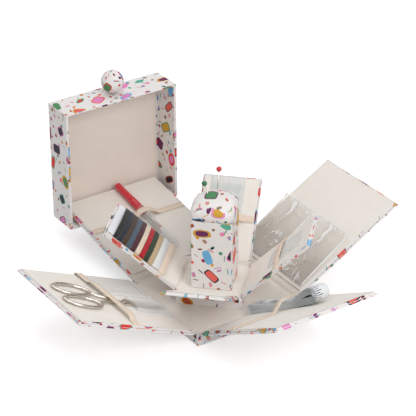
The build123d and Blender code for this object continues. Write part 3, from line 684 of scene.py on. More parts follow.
def grown(name, mesh, tree, values):
    """A piece that a geometry node group makes from a mesh; values are the group's inputs."""
    piece = new_object(name, mesh)
    modifier = piece.modifiers.new(tree.name, "NODES")
    modifier.node_group = tree
    for socket, value in values.items():
        modifier[tree.interface.items_tree[socket].identifier] = value
    return bake(piece)


def end_tree(tree, instances, material):
    """Ends a geometry node group: real copies, all of one material."""
    real = add_node(tree, "GeometryNodeRealizeInstances", {"Geometry": instances})
    covered = add_node(tree, "GeometryNodeSetMaterial", {"Geometry": real, "Material": material})
    add_node(tree, "NodeGroupOutput", {"Geometry": covered})
    tree.is_modifier = True


def shaped_box(name, place, shape, material, shift):
    """A piece from a mesh in local millimetres, its cloth laid flat on each side and over its edges."""
    shape.normal_update()
    faces, corners, smooth = [], [], []
    shape.verts.index_update()
    for face in shape.faces:
        normal = face.normal
        side = max(range(3), key=lambda i: abs(normal[i]))
        faces.append(tuple(vertex.index for vertex in face.verts))
        smooth.append(abs(normal[side]) < 0.9995)
        for vertex in face.verts:
            across, along, lift = vertex.co
            if side == 0:
                across += math.copysign(lift, normal.x)
            elif side == 1:
                along += math.copysign(lift, normal.y)
            elif normal.z > 0:
                across += INNER_SHIFT
            corners.append(((across + shift) * MM, (along + shift * SHIFT_ALONG) * MM))
    points = [place.at(*vertex.co) for vertex in shape.verts]
    piece = make_piece(name, points, faces, corners, material)
    for polygon, is_smooth in zip(piece.data.polygons, smooth):
        polygon.use_smooth = is_smooth
    return piece


def box_shape(low, high):
    """A box in local millimetres."""
    shape = bmesh.new()
    bmesh.ops.create_cube(shape, size=1.0)
    for vertex in shape.verts:
        vertex.co = Vector([low[i] + (vertex.co[i] + 0.5) * (high[i] - low[i]) for i in range(3)])
    return shape


def wrapped_box(name, place, low, high, material, rounding, shift=0.0):
    """A box with its edges rounded, as cloth or paper turns over them."""
    shape = box_shape(low, high)
    bmesh.ops.bevel(shape, geom=shape.edges[:], offset=rounding, segments=3, profile=0.5, affect="EDGES")
    piece = shaped_box(name, place, shape, material, shift)
    shape.free()
    return piece


def eased(count, power):
    """Evenly counted shares from -1 to 1, closer together towards both ends."""
    shares = [2 * i / count - 1 for i in range(count + 1)]
    return [math.copysign(1 - (1 - abs(share)) ** power, share) for share in shares]


def stuffed_pad(name, place, low, high, materials, crown, seed, border, shift=0.0, held=(), flare=0.0):
    """A wadded pad: its sides, the depth of its seam, and a top that swells where nothing holds it flat.

    The materials are the top's, the sides' and the seam's; held lists the boxes that lie on the pad,
    and the flare is how far the sides' cloth runs out over the board's ledge.
    """
    columns, rows, power, squareness, shelter = 44, 56, 1.6, 14, 8.0
    pull, groove, seam = 0.35, 1.0, 0.3   # how far the sides pull in, and the seam's width and depth
    over_across, over_along = 2.8, 2.4    # cloth that goes over the board's edge before the pad starts
    middle, half = (low + high) / 2, (high - low) / 2
    shares = [(t, v) for v in eased(rows, power) for t in eased(columns, power)]
    height = high.z - low.z - border - seam

    def flat(t, v, inset=0.0, lift=0.02, spread=0.0):
        return Vector((middle.x + t * (half.x + spread - inset - pull * (1 - v * v)),
                       middle.y + v * (half.y - inset - pull * (1 - t * t)), low.z + lift))

    def freedom(x, y):
        """From 0 under what lies on the pad to 1 well away from it."""
        share = 1.0
        for box_low, box_high in held:
            gap = math.hypot(max(box_low.x - x, x - box_high.x, 0.0),
                             max(box_low.y - y, y - box_high.y, 0.0))
            share = min(share, 1 - math.exp(-(gap / shelter) ** 2))
        return share

    def top(t, v):
        """The swollen cover: a crown with broad ripples, and puckers towards the seam."""
        spot = flat(t, v, 0.25)
        dome = ((1 - abs(t) ** squareness) * (1 - abs(v) ** squareness)) ** 0.5
        edge = max(abs(t), abs(v)) ** 5
        broad = noise.noise(Vector((spot.x / 14, spot.y / 22, seed)))
        pucker = noise.noise(Vector((spot.x / 5, spot.y / 5, seed + 9)))
        ripple = broad * 0.35 + edge * pucker * 0.4
        raised = (crown * (1 - t * t) * (1 - v * v) + ripple) * dome * freedom(spot.x, spot.y)
        spot.z = low.z + border + seam + height * dome + raised
        return spot

    width = columns + 1
    rim = [*range(columns), *range(columns, rows * width + columns, width),
           *range(rows * width + columns, rows * width, -1), *range(rows * width, 0, -width)]
    runs = [(0, -1)] * columns + [(1, 0)] * rows + [(0, 1)] * columns + [(-1, 0)] * rows
    # Each ring: inset, lift, spread, and how far its cloth is from the board's lower edge, across and along
    side = flare + over_across + math.hypot(flare, border) + flare
    rings = [(0.0, 0.06, flare, flare + over_across, over_along),
             (0.0, border, 0.0, side, over_along + border)]
    rings += [(groove, lift, 0.0, side + 2 * groove, over_along + border + 2 * groove)
              for lift in (border + 0.05, border + seam)]
    spots = [top(t, v) for t, v in shares] + [flat(t, v) for t, v in shares]
    spots += [flat(*shares[i], inset, lift, spread) for inset, lift, spread, _, _ in rings for i in rim]
    lower, around = len(shares), len(rim)
    faces, corners, cloths = [], [], []

    def add(ring, cloth, run):
        faces.append(ring)
        cloths.append(cloth)
        for k in ring:
            number = (k - 2 * lower) // around
            across, along = rings[number][3:] if number >= 0 else (0.0, 0.0)
            corners.append(((spots[k].x + run[0] * across + shift) * MM,
                            (spots[k].y + run[1] * along + shift * SHIFT_ALONG) * MM))

    for i in range(rows):
        for j in range(columns):
            ring = (i * width + j, i * width + j + 1, (i + 1) * width + j + 1, (i + 1) * width + j)
            add(ring, 0, (0, 0))
            add(tuple(lower + index for index in reversed(ring)), 0, (0, 0))
    for i, run in enumerate(runs):
        k = (i + 1) % around
        steps = [(lower + rim[i], lower + rim[k])]
        steps += [(start + i, start + k) for start in range(2 * lower, len(spots), around)]
        steps.append((rim[i], rim[k]))
        for number, (below, above) in enumerate(zip(steps, steps[1:])):
            # The side at the fold is lined; the other sides show the print, then the seam, whose material
            # on the walls and base is a painted shade
            cloth = (1, 1, 1, 2, 0)[number] if run != (0, -1) else 0
            add((below[0], below[1], above[1], above[0]), cloth, run)
    piece = make_piece(name, [place.at(*spot) for spot in spots], faces, corners, materials[0])
    for material in materials[1:]:
        piece.data.materials.append(material)
    for polygon, cloth in zip(piece.data.polygons, cloths):
        polygon.material_index = cloth
    return piece


def swell(piece, held, pressure, cap, low, high):
    """Fills a piece by a short cloth simulation: held points stay, the others move up to the cap.

    It runs at SWELL_SCALE times life size, at which the solver is steady, and ends inside the box given.
    """
    scene, frames = bpy.context.scene, 20
    rest = [vertex.co.copy() for vertex in piece.data.vertices]
    for vertex in piece.data.vertices:
        vertex.co *= SWELL_SCALE
    piece.vertex_groups.new(name="held").add(held, 1.0, "REPLACE")
    cloth = piece.modifiers.new("filling", "CLOTH")
    made = cloth.settings
    made.quality, made.mass, made.air_damping = 6, 0.3, 2.0
    made.tension_stiffness = made.compression_stiffness = made.shear_stiffness = 12.0
    made.bending_stiffness, made.shrink_min = 1.5, -0.02
    made.use_pressure, made.uniform_pressure_force = True, pressure
    made.effector_weights.gravity = 0.0
    made.vertex_group_mass = "held"
    cloth.collision_settings.use_collision = False
    for number in range(frames):
        scene.frame_set(number + 1)
    evaluated = piece.evaluated_get(bpy.context.evaluated_depsgraph_get())
    filled = [vertex.co / SWELL_SCALE for vertex in evaluated.data.vertices]
    piece.modifiers.clear()
    piece.vertex_groups.clear()
    for vertex, before, after in zip(piece.data.vertices, rest, filled):
        step = after - before
        step *= min(1.0, cap / max(step.length, 1e-9))
        vertex.co = [min(max(before[i] + step[i], low[i]), high[i]) for i in range(3)]
    scene.frame_set(1)


def sweep(name, place, line, section, material, closed=False):
    """A skin along a line in local millimetres; the section lists (sideways, along lift) in millimetres."""
    rows = []
    for i, spot in enumerate(line):
        before = line[i - 1] if closed or i else spot
        after = line[(i + 1) % len(line)] if closed or i < len(line) - 1 else spot
        run = (after - before).normalized()
        side = run.cross(UP).normalized()
        up = side.cross(run)
        rows.append([place.at(*(spot + side * across + up * rise)) for across, rise in section])
    return loft(name, rows, material, round_rows=True, round_path=closed, caps=not closed)


def oval(half_width, half_height, sides=16):
    turns = [2 * math.pi * i / sides for i in range(sides)]
    return [(half_width * math.cos(turn), half_height * math.sin(turn)) for turn in turns]


def turned(name, place, profile, material, sides=32):
    """A round piece about its place's along direction; the profile lists (along, radius)."""
    rows = [[place.at(across, along, lift) for across, lift in oval(radius, radius, sides)]
            for along, radius in profile]
    return loft(name, rows, material, round_rows=True, caps=True)


def film_bag(name, place, low, high, material, seed, fullness, open_end):
    """Two sheets of thin film, welded at three or four sides, with soft creases."""
    columns, rows, weld = 26, 34, 3.0
    middle, half = (low + high) / 2, (high - low) / 2
    height = high.z - low.z
    shares = [(2 * j / columns - 1, 2 * i / rows - 1) for i in range(rows + 1) for j in range(columns + 1)]
    upper, lower = [], []
    for t, v in shares:
        x, y = middle.x + t * half.x, middle.y + v * half.y
        room = half.x * (1 - abs(t))
        if not (open_end and v > 0):
            room = min(room, half.y * (1 - abs(v)))
        rise = math.sin(min(1.0, room / weld) * math.pi / 2)
        crease = 0.5 + 0.5 * noise.noise(Vector((x / 9, y / 16, seed)))
        sharp = abs(noise.noise(Vector((x / 6 + y / 15, y / 30, seed + 4))))
        full = fullness + (1 - fullness) * min(1.0, crease + 0.8 * sharp)
        upper.append(Vector((x, y, low.z + 0.06 + (height - 0.1) * rise * full)))
        lower.append(Vector((x, y, low.z + 0.03 + 0.12 * height * rise * crease)))
    width = columns + 1
    points, faces, corners = [], [], []
    for layer in (upper, lower):
        start = len(points)
        points += [place.at(*spot) for spot in layer]
        for i in range(rows):
            for j in range(columns):
                ring = [start + i * width + j, start + i * width + j + 1,
                        start + (i + 1) * width + j + 1, start + (i + 1) * width + j]
                ring = ring if layer is upper else ring[::-1]
                faces.append(tuple(ring))
                corners += [(shares[k - start][0] * half.x * MM, shares[k - start][1] * half.y * MM)
                            for k in ring]
    return make_piece(name, points, faces, corners, material)


def film_rim(name, place, low, high, material, open_end, level=0.35):
    """The welded edge of a film bag: a thin near-white bead, partly thick film and partly a painted
    highlight.
    """
    radius, corner = 0.36, 1.5
    left, right, bottom, top = low.x + radius, high.x - radius, low.y + radius, high.y - radius
    knots = [(left, top), (left, bottom), (right, bottom), (right, top)]
    if not open_end:
        middle = low.x + (high.x - low.x) / 2
        knots = [(middle, top), *knots, (middle, top)]
    line = rounded([Vector((x, y, low.z + level)) for x, y in knots], corner)
    return sweep(name, place, line, oval(radius, radius, 8), material)


def through(knots, steps):
    """A smooth line through the knots."""
    line = []
    padded = [Vector(knot) for knot in (knots[0], *knots, knots[-1])]
    for a, b, c, d in zip(padded, padded[1:], padded[2:], padded[3:]):
        for i in range(steps):
            t = i / steps
            line.append(0.5 * (2 * b + (c - a) * t + (2 * a - 5 * b + 4 * c - d) * t * t
                               + (3 * b - a - 3 * c + d) * t ** 3))
    return line + [Vector(knots[-1])]


def rounded(knots, radius, steps=4):
    """The knots joined by straight runs, with each corner rounded."""
    knots = [Vector(knot) for knot in knots]
    line = [knots[0]]
    for before, knot, after in zip(knots, knots[1:], knots[2:]):
        start, end = (knot + (other - knot).normalized() * min(radius, (other - knot).length / 2)
                      for other in (before, after))
        for i in range(steps + 1):
            t = i / steps
            line.append(start * (1 - t) ** 2 + knot * 2 * t * (1 - t) + end * t * t)
    return line + [knots[-1]]


def graded(share, stops):
    """The value at a share of the way, on straight runs between stops of (share, value)."""
    for (start, before), (end, after) in zip(stops, stops[1:]):
        if share <= end:
            return before + (after - before) * (share - start) / (end - start)


def ribbon(name, place, line, side, width, thickness, material):
    """A flat band along a line in local millimetres; side is the direction of its width."""
    rows = []
    for i, spot in enumerate(line):
        run = (line[min(i + 1, len(line) - 1)] - line[max(i - 1, 0)]).normalized()
        face = side.cross(run).normalized()
        rows.append([place.at(*(spot + side * (across * width) + face * (lift * thickness)))
                     for across, lift in BAND_SECTION])
    return loft(name, rows, material, round_rows=True, caps=True)


def fold_strip(name, wall, level, half, section, material):
    """Cloth over a fold: the section gives level points, then wall points, as (along, lift)."""
    level_points, wall_points = section
    rows = []
    for i in range(25):
        across = half * (i / 12 - 1)
        knots = [level.at(across, *spot) for spot in level_points]
        rows.append(through(knots + [wall.at(across, *spot) for spot in wall_points], 4))
    piece = thickened(loft(name, rows, material))
    level.at(0, *level_points[-1])
    wall.at(0, *wall_points[0])
    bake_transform(piece)
    return piece


class BoxStep(bpy.types.Operator):
    """Shared by the steps that dress the box."""

    bl_options = {"REGISTER", "UNDO"}


class SEWING_OT_stage(BoxStep):
    """Camera, soft lamps, world and a pale floor"""

    bl_idname = "sewing.stage"
    bl_label = "Stage"

    def execute(self, context):
        scene, stage = context.scene, settings("stage")
        scene.view_settings.view_transform = "Standard"
        azimuth, elevation = math.radians(stage.camera_azimuth), math.radians(stage.camera_elevation)
        look = Vector((-math.sin(azimuth) * math.cos(elevation), math.cos(azimuth) * math.cos(elevation),
                       -math.sin(elevation)))
        camera = bpy.data.cameras.new("photo_camera")
        camera.lens, camera.sensor_width = stage.lens, 36.0
        camera.clip_start, camera.clip_end = 0.05, 50.0
        scene.camera = self.aimed("photo_camera", camera, stage.camera_place, look)
        for name, place, size, power in LAMPS:
            lamp = bpy.data.lights.new(name, "AREA")
            lamp.shape, lamp.size, lamp.energy = "DISK", size, power
            self.aimed(name, lamp, place, -Vector(place))
        self.light_world(scene)
        self.lay_floor(stage)
        return {"FINISHED"}

    def aimed(self, name, data, place, look):
        """A camera or lamp at a place, turned to look in a direction."""
        holder = new_object(name, data)
        holder.location = place
        holder.rotation_mode = "QUATERNION"
        holder.rotation_quaternion = look.to_track_quat("-Z", "Y")
        return holder

    def light_world(self, scene):
        """A white surround: full for the camera, and a softer one with a bright ceiling for the pieces."""
        world = bpy.data.worlds.new("studio")
        world.use_nodes = True
        scene.world = world
        tree = world.node_tree
        tree.nodes.clear()
        path = add_node(tree, "LightPath").outputs
        seen = add_node(tree, "Math", {0: path["Is Camera Ray"], 1: path["Is Transmission Ray"]},
                        operation="MAXIMUM")
        soft = add_node(tree, "MapRange", {"Value": seen, "To Min": 0.52, "To Max": 1.0})
        way = add_node(tree, "TexCoord").outputs["Generated"]
        height = add_node(tree, "SeparateXYZ", {0: way})
        ceiling = add_node(tree, "MapRange",
                           {"Value": height.outputs[2], "From Min": 0.35, "From Max": 0.8, "To Min": 0.3},
                           interpolation_type="SMOOTHSTEP")
        strength = add_node(tree, "Mix", {0: path["Is Glossy Ray"], 2: soft, 3: ceiling})
        glow = add_node(tree, "Background", {"Color": (1, 1, 1, 1), "Strength": strength})
        add_node(tree, "OutputWorld", {"Surface": glow})

    def lay_floor(self, stage):
        """A pale floor that camera and mirrors see a little brighter than it is lit."""
        reach, lift = 6.0, -0.0002
        points = [Vector((x, y, lift)) for x, y in
                  ((-reach, -reach), (reach, -reach), (reach, reach), (-reach, reach))]
        material, tree, shader = new_material("pale_floor", stage.floor, Roughness=0.9,
                                              Specular_IOR_Level=0.1)
        path = add_node(tree, "LightPath").outputs
        seen = add_node(tree, "Math", {0: path["Is Camera Ray"], 1: path["Is Glossy Ray"]},
                        operation="MAXIMUM")
        shader.inputs["Emission Color"].default_value = (1, 1, 1, 1)
        add_node(tree, "Math", {0: seen, 1: 0.46}, to=shader.inputs["Emission Strength"],
                 operation="MULTIPLY")
        floor = make_piece("floor", points, [(0, 1, 2, 3)], [(0, 0)] * 4, material)


class SEWING_OT_boards(BoxStep):
    """Card boards of the base, plinth and walls, wrapped in printed cotton"""

    bl_idname = "sewing.boards"
    bl_label = "Boards"

    def execute(self, context):
        cotton, edge = stored(printed_cotton), settings("cloth").board_edge / MM
        boards = [(name + "_cover", walls[name], name + "_wall_board", name + "_wall", number * CLOTH_SHIFT)
                  for number, (name, _) in enumerate(OUTER_WALLS + INNER_WALLS)]
        boards += [("base_cover", ground, "base_board", "base", 11.0),
                   ("plinth_cover", inner_ground, "inner_plinth", "base", 23.0)]
        for name, place, node, body, shift in boards:
            board = wrapped_box(name, place, *place.box(node), cotton, edge, shift)
            finish(board, body, node)
        return {"FINISHED"}


class SEWING_OT_pads(BoxStep):
    """Wadded cotton pads of the walls, base and inner floor"""

    bl_idname = "sewing.pads"
    bl_label = "Pads"

    def execute(self, context):
        # The seam's grey-brown cotton is a painted shade in the depth of the seam
        lining, seam = stored(lining_cotton), stored(painted_seam_shade)
        cloths = [lining, stored(printed_cotton), seam]
        seed_step, above_border, flare_gap = 3.7, 0.5, 0.6
        for number, (name, crown) in enumerate(OUTER_WALLS + INNER_WALLS):
            wall, node = walls[name], name + "_wall_pad"
            low, high = wall.box(node)
            held = [wall.box(other) for other in HELD_FLAT.get(name, ())]
            if name == "front":
                # The tape slides off along the pad, which stays flat all along its way
                tape_low, tape_high = held[1]
                held.append((tape_low, Vector((tape_high.x, high.y, tape_high.z))))
            ledge = wall.box(name + "_wall_board")[1].x - high.x
            pad = stuffed_pad(name + "_padding", wall, low, high, cloths, crown, number * seed_step,
                              high.z - low.z - above_border, number * CLOTH_SHIFT, held,
                              ledge - flare_gap)
            finish(pad, name + "_wall", node)
        plain = [lining, lining, seam]
        for name, place, node, crown, seed, border in (
                ("base_padding", ground, "base_lining", 0.2, 51.0, 0.4),
                ("inner_floor_padding", inner_ground, "inner_floor_lining", 0.1, 57.0, 0.2)):
            pad = stuffed_pad(name, place, *place.box(node), plain, crown, seed, border)
            finish(pad, "base", node)
        return {"FINISHED"}


class SEWING_OT_folds(BoxStep):
    """Cloth that runs over the folds, printed outside and plain inside"""

    bl_idname = "sewing.folds"
    bl_label = "Folds"

    def execute(self, context):
        cotton, plain = stored(printed_cotton), stored(lining_cotton)
        outside = ([(0.15, -3.6), (0.2, -1.2)], [(0.9, -0.25), (3.4, -0.15)])
        # For each set of walls: where the inside strip starts on the base, its lift there, and the board
        for group, node, start, lift, board in ((OUTER_WALLS, "outer_cloth_folds", -6.6, 1.2, 2.2),
                                                (INNER_WALLS, "inner_cloth_folds", -5.6, 0.5, 2.0)):
            for name, _ in group:
                wall = walls[name]
                half = wall.box(name + "_wall_board")[1].x - 0.6
                pad = wall.box(name + "_wall_pad")[0].y
                inside = ([(start, lift), (start + 2.0, 0.55), (-1.8, 0.4)],
                          [(1.2, board + 0.35), (pad - 0.8, board + 0.9), (pad + 1.2, board + 1.3)])
                for label, section, cloth, slot in (("outside", outside, cotton, "print_cloth"),
                                                    ("inside", inside, plain, "lining")):
                    strip = fold_strip(f"{name}_fold_{label}", wall, levels[name], half, section, cloth)
                    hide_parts(node)
        return {"FINISHED"}


class SEWING_OT_lid(BoxStep):
    """Lid tray, its lining, its cloth hinge and its covered knob"""

    bl_idname = "sewing.lid"
    bl_label = "Lid"

    def execute(self, context):
        cotton, plain = stored(printed_cotton), stored(lid_cotton)
        low, high = lid.box("lid_tray")
        lining_low, lining_high = lid.box("lid_lining")
        shape = box_shape(low, high)
        front = max(shape.faces, key=lambda face: face.calc_center_median().z)
        bmesh.ops.inset_region(shape, faces=[front], thickness=lining_low.x - low.x)
        pushed = bmesh.ops.extrude_face_region(shape, geom=[front])
        bmesh.ops.delete(shape, geom=[front], context="FACES_ONLY")
        for part in pushed["geom"]:
            if isinstance(part, bmesh.types.BMVert):
                part.co.z = lining_low.z
        bmesh.ops.bevel(shape, geom=shape.edges[:], offset=1.1, segments=3, profile=0.5, affect="EDGES")
        tray = shaped_box("lid_cover", lid, shape, cotton, shift=77.0)
        shape.free()
        finish(tray, "lid", "lid_tray")
        lining = stuffed_pad("lid_padding", lid, lining_low, lining_high, [plain] * 3,
                             crown=0.2, seed=88.0, border=0.2)
        finish(lining, "lid", "lid_lining")
        self.hinge(cotton)
        self.knob(cotton)
        return {"FINISHED"}

    def hinge(self, cotton):
        """The strip that runs from the back wall's outer face onto the lid's own back wall."""
        wall = walls["back"]
        fold = wall.local(lid.origin)
        half = wall.box("back_wall_board")[1].x - 1.0
        spots = [wall.at(0, fold.y - 7.0, -0.15), wall.at(0, fold.y - 2.5, -0.3), lid.origin,
                 lid.at(0, -0.5, -1.6), lid.at(0, -0.65, -5.0)]
        rows = [[spot + wall.across * (half * (i / 10 - 1) * MM) for spot in through(spots, 4)]
                for i in range(21)]
        strip = thickened(loft("lid_fold_strip", rows, cotton))
        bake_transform(strip)
        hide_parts("lid_cloth_fold")

    def knob(self, cotton):
        """A ball in print, gathered into pleats at its foot."""
        low, high = lid.box("lid_knob")
        centre, radius = (low + high) / 2, (high.x - low.x) / 2
        centre.y = high.y - radius
        rows = []
        for i in range(25):
            turn = math.radians(7 + 172.9 * i / 24)
            pleat = max(0.0, 1 - i / 7) * 0.5
            row = []
            for j in range(48):
                around = 2 * math.pi * j / 48
                ring = radius * math.sin(turn) + pleat * math.sin(12 * around)
                row.append(lid.at(centre.x + ring * math.cos(around), centre.y - radius * math.cos(turn),
                                  centre.z + ring * math.sin(around)))
            rows.append(row)
        ball = loft("knob_cover", rows, cotton, round_rows=True, caps=True)
        finish(ball, "lid", "lid_knob")


class SEWING_OT_tower(BoxStep):
    """Tower, pincushion and pins"""

    bl_idname = "sewing.tower"
    bl_label = "Tower"

    def execute(self, context):
        cotton = stored(printed_cotton)
        low, high = inner_ground.box("tower_box")
        tower = wrapped_box("tower_cover", inner_ground, low, high, cotton, rounding=1.2, shift=131.0)
        finish(tower, "base", "tower_box")
        self.cushion(cotton, high.x)
        for name, colour in (("red_pin", "#C4101F"), ("green_pin", "#0B6A3E")):
            self.pin(name, linear(colour))
        return {"FINISHED"}

    def cushion(self, cotton, side):
        """A ball of wadding in print: square where it sits in the tower, round above it."""
        low, high = inner_ground.box("pincushion")
        height = high.z - low.z
        corner_fall, edge_fall, bulge, easing, taper = 0.33, 0.468, 0.035, 0.085, 0.72
        shape = bmesh.new()
        bmesh.ops.create_cube(shape, size=2.0)
        bmesh.ops.subdivide_edges(shape, edges=shape.edges[:], cuts=17, use_grid_fill=True)
        for vertex in shape.verts:
            x, y, z = vertex.co
            up = (z + 1) / 2
            crown = 1 - corner_fall * x * x * y * y
            crown *= 1 - edge_fall * max(0.0, up - 0.45) ** 2 * (x * x + y * y)
            belly = 1 + bulge * math.sin(math.pi * min(1.0, up * 1.5))
            corner = 1 - easing * (x * y) ** 4
            reach = side * belly * corner * (1 - taper * max(0.0, up - 0.5) ** 2)
            lift = low.z + height * (up ** 0.92) * crown
            pucker = 0.3 * noise.noise(Vector((x * 3, y * 3, z * 3)))
            vertex.co = Vector((x * reach, y * reach, max(low.z, lift) + pucker * up))
        bmesh.ops.smooth_vert(shape, verts=[v for v in shape.verts if v.co.z > low.z + 1], factor=0.5,
                              use_axis_x=True, use_axis_y=True, use_axis_z=True)
        piece = shaped_box("cushion_cover", inner_ground, shape, cotton, shift=167.0)
        shape.free()
        for polygon in piece.data.polygons:
            polygon.use_smooth = True
        # The foot is held, and no point sinks 1.1 mm below its top or rises past the cushion's height
        floor = inner_ground.at(0, 0, low.z + 1.0).z
        held = [vertex.index for vertex in piece.data.vertices if vertex.co.z < floor]
        reach = (high.x - low.x) * MM
        swell(piece, held, pressure=6.0, cap=1.6 * MM, low=(-reach, -reach, floor - 1.1 * MM),
              high=(reach, reach, floor + height * MM))
        finish(piece, "base", "pincushion")

    def pin(self, name, colour):
        """A steel shaft, and a glass head at the far end of it."""
        head_radius, shaft_radius, taper = 2.75, 0.4, 4.0
        axis = Vector(joints[name + "_pull"]["axis"])
        points = [vertex.co for vertex in frame["nodes"][name].data.vertices]
        lowest = min(point.dot(axis) for point in points)
        end = [point for point in points if point.dot(axis) < lowest + 0.1 * MM]
        place = Place(sum(end, Vector()) / len(end), axis.cross(Vector((0, 1, 0))), axis)
        centre = max(place.local(point).y for point in points) - head_radius
        shaft = turned(name + "_shaft", place, [(0.0, 0.05), (taper, shaft_radius), (centre, shaft_radius)],
                       stored(nickel_plate), sides=12)
        finish(shaft, name, name)
        turns = [math.pi * i / 16 for i in range(17)]
        ball = [(centre - head_radius * math.cos(turn), max(0.02, head_radius * math.sin(turn)))
                for turn in turns]
        head = turned(name + "_head", place, ball, stored(glass_head(colour), name + "_glass"), sides=28)
        finish(head, name, name)


class SEWING_OT_bands(BoxStep):
    """Elastic bands stretched over the notions"""

    bl_idname = "sewing.bands"
    bl_label = "Elastic bands"

    def execute(self, context):
        elastic, tuck, clearance = stored(woven_elastic), 2.4, 0.25
        for name in ("front", "left", "back", "inner_left", "inner_back", "inner_right"):
            wall, node = walls[name], name + "_elastic"
            low, high = wall.box(node)
            thickness = 0.95 if name == "front" else 0.7
            middle = (low.y + high.y) / 2
            line = [(across, middle, lift + thickness / 2 + clearance)
                    for across, lift in self.underside(wall, node)]
            line = [(line[0][0] - 0.5, middle, tuck), *line, (line[-1][0] + 0.5, middle, tuck)]
            band = ribbon(name + "_band", wall, rounded(line, 3.0), Vector((0, 1, 0)),
                          high.y - low.y + 1.4, thickness, elastic)
            finish(band, name + "_wall", node)
        return {"FINISHED"}

    def underside(self, wall, node):
        """The lower corners of a band, as (across, lift)."""
        lowest = {}
        for vertex in frame["nodes"][node].data.vertices:
            corner = wall.local(vertex.co)
            key = round(corner.x, 1)
            lowest[key] = min(corner.z, lowest.get(key, corner.z))
        return sorted(lowest.items())


class SEWING_OT_scissors(BoxStep):
    """Embroidery scissors and the clear sleeve on their blades"""

    bl_idname = "sewing.scissors"
    bl_label = "Scissors"

    def execute(self, context):
        steel = stored(nickel_plate)
        for half, side, middle in (("lower", 1, 0.7), ("upper", -1, 2.2)):
            body = "scissors" if half == "lower" else "scissors_upper"
            for part in (self.ring(half, side, steel), self.shank(half, side, middle, steel),
                         self.blade(half, side, middle, steel)):
                finish(part, body, f"scissors_{half}_half")
        screw = frame["nodes"]["scissors_screw"].data
        screw.materials.clear()
        screw.materials.append(steel)
        low, high = scissors.box("scissors_sleeve")
        # The sleeve's rim is in the near-white edge film, partly a painted highlight
        for piece in (film_bag("sleeve_film", scissors, low, high, stored(clear_film),
                               seed=3.0, fullness=0.86, open_end=True),
                      film_rim("sleeve_rim", scissors, low, high, stored(film_edge_highlight), open_end=True)):
            finish(piece, "left_wall", "scissors_sleeve")
        return {"FINISHED"}

    def ring(self, half, side, steel):
        """A finger ring: an oval loop of flattened rod."""
        across, along, half_width, half_length, rod, thickness = 13.8, 53.0, 11.3, 19.8, 1.95, 2.9
        line = [Vector((side * across + x, along - y, thickness / 2))
                for y, x in oval(half_length, half_width, 72)]
        return sweep(f"scissors_{half}_ring", scissors, line, oval(rod, thickness / 2), steel, closed=True)

    def shank(self, half, side, middle, steel):
        """From the pivot's disc, widening and rising into the foot of the ring."""
        level = 1.45
        rising = level + (middle - level) * 0.4
        # Stations: along, across, half width, half height and lift
        stations = [
            (-2.4, 0.0, 2.0, 0.7, middle), (0.0, 0.0, 3.2, 0.7, middle), (2.4, 0.6, 3.0, 0.7, middle),
            (7.0, 2.2, 2.5, 0.9, rising), (13.0, 3.6, 1.9, 1.2, level), (20.0, 5.0, 1.7, 1.35, level),
            (27.0, 7.0, 1.8, 1.4, level), (32.5, 10.0, 2.1, 1.45, level), (35.0, 12.4, 2.0, 1.4, level)]
        rows = [[scissors.at(side * across + x, along, lift + z) for x, z in oval(width, height, 20)]
                for along, across, width, height, lift in stations]
        return loft(f"scissors_{half}_shank", rows, steel, round_rows=True, caps=True)

    def blade(self, half, side, middle, steel):
        """A blade that narrows to its point, ground to an edge on its outer face."""
        length, half_thickness, outward = 47.0, 0.7, -1 if half == "lower" else 1
        # The back's and the edge's distance from the middle line, at shares of the length
        back_line, edge_line = [(0, 3.2), (0.55, 2.75), (1, 0)], [(0, 3.2), (0.2, 1.3), (1, 0)]
        rows = []
        for i in range(15):
            share = i / 14
            back = -side * max(0.08, graded(share, back_line))
            edge = side * max(0.02, graded(share, edge_line))
            ridge = edge + (back - edge) * 0.45
            flat = middle - outward * half_thickness
            outer = middle + outward * half_thickness * (1 - 0.5 * share)
            corners = ((back, flat), (edge, flat), (edge, flat + outward * 0.15), (ridge, outer),
                       (back, outer))
            rows.append([scissors.at(across, -length * share, lift) for across, lift in corners])
        return loft(f"scissors_{half}_blade", rows, steel, round_rows=True, caps=True, smooth=False)


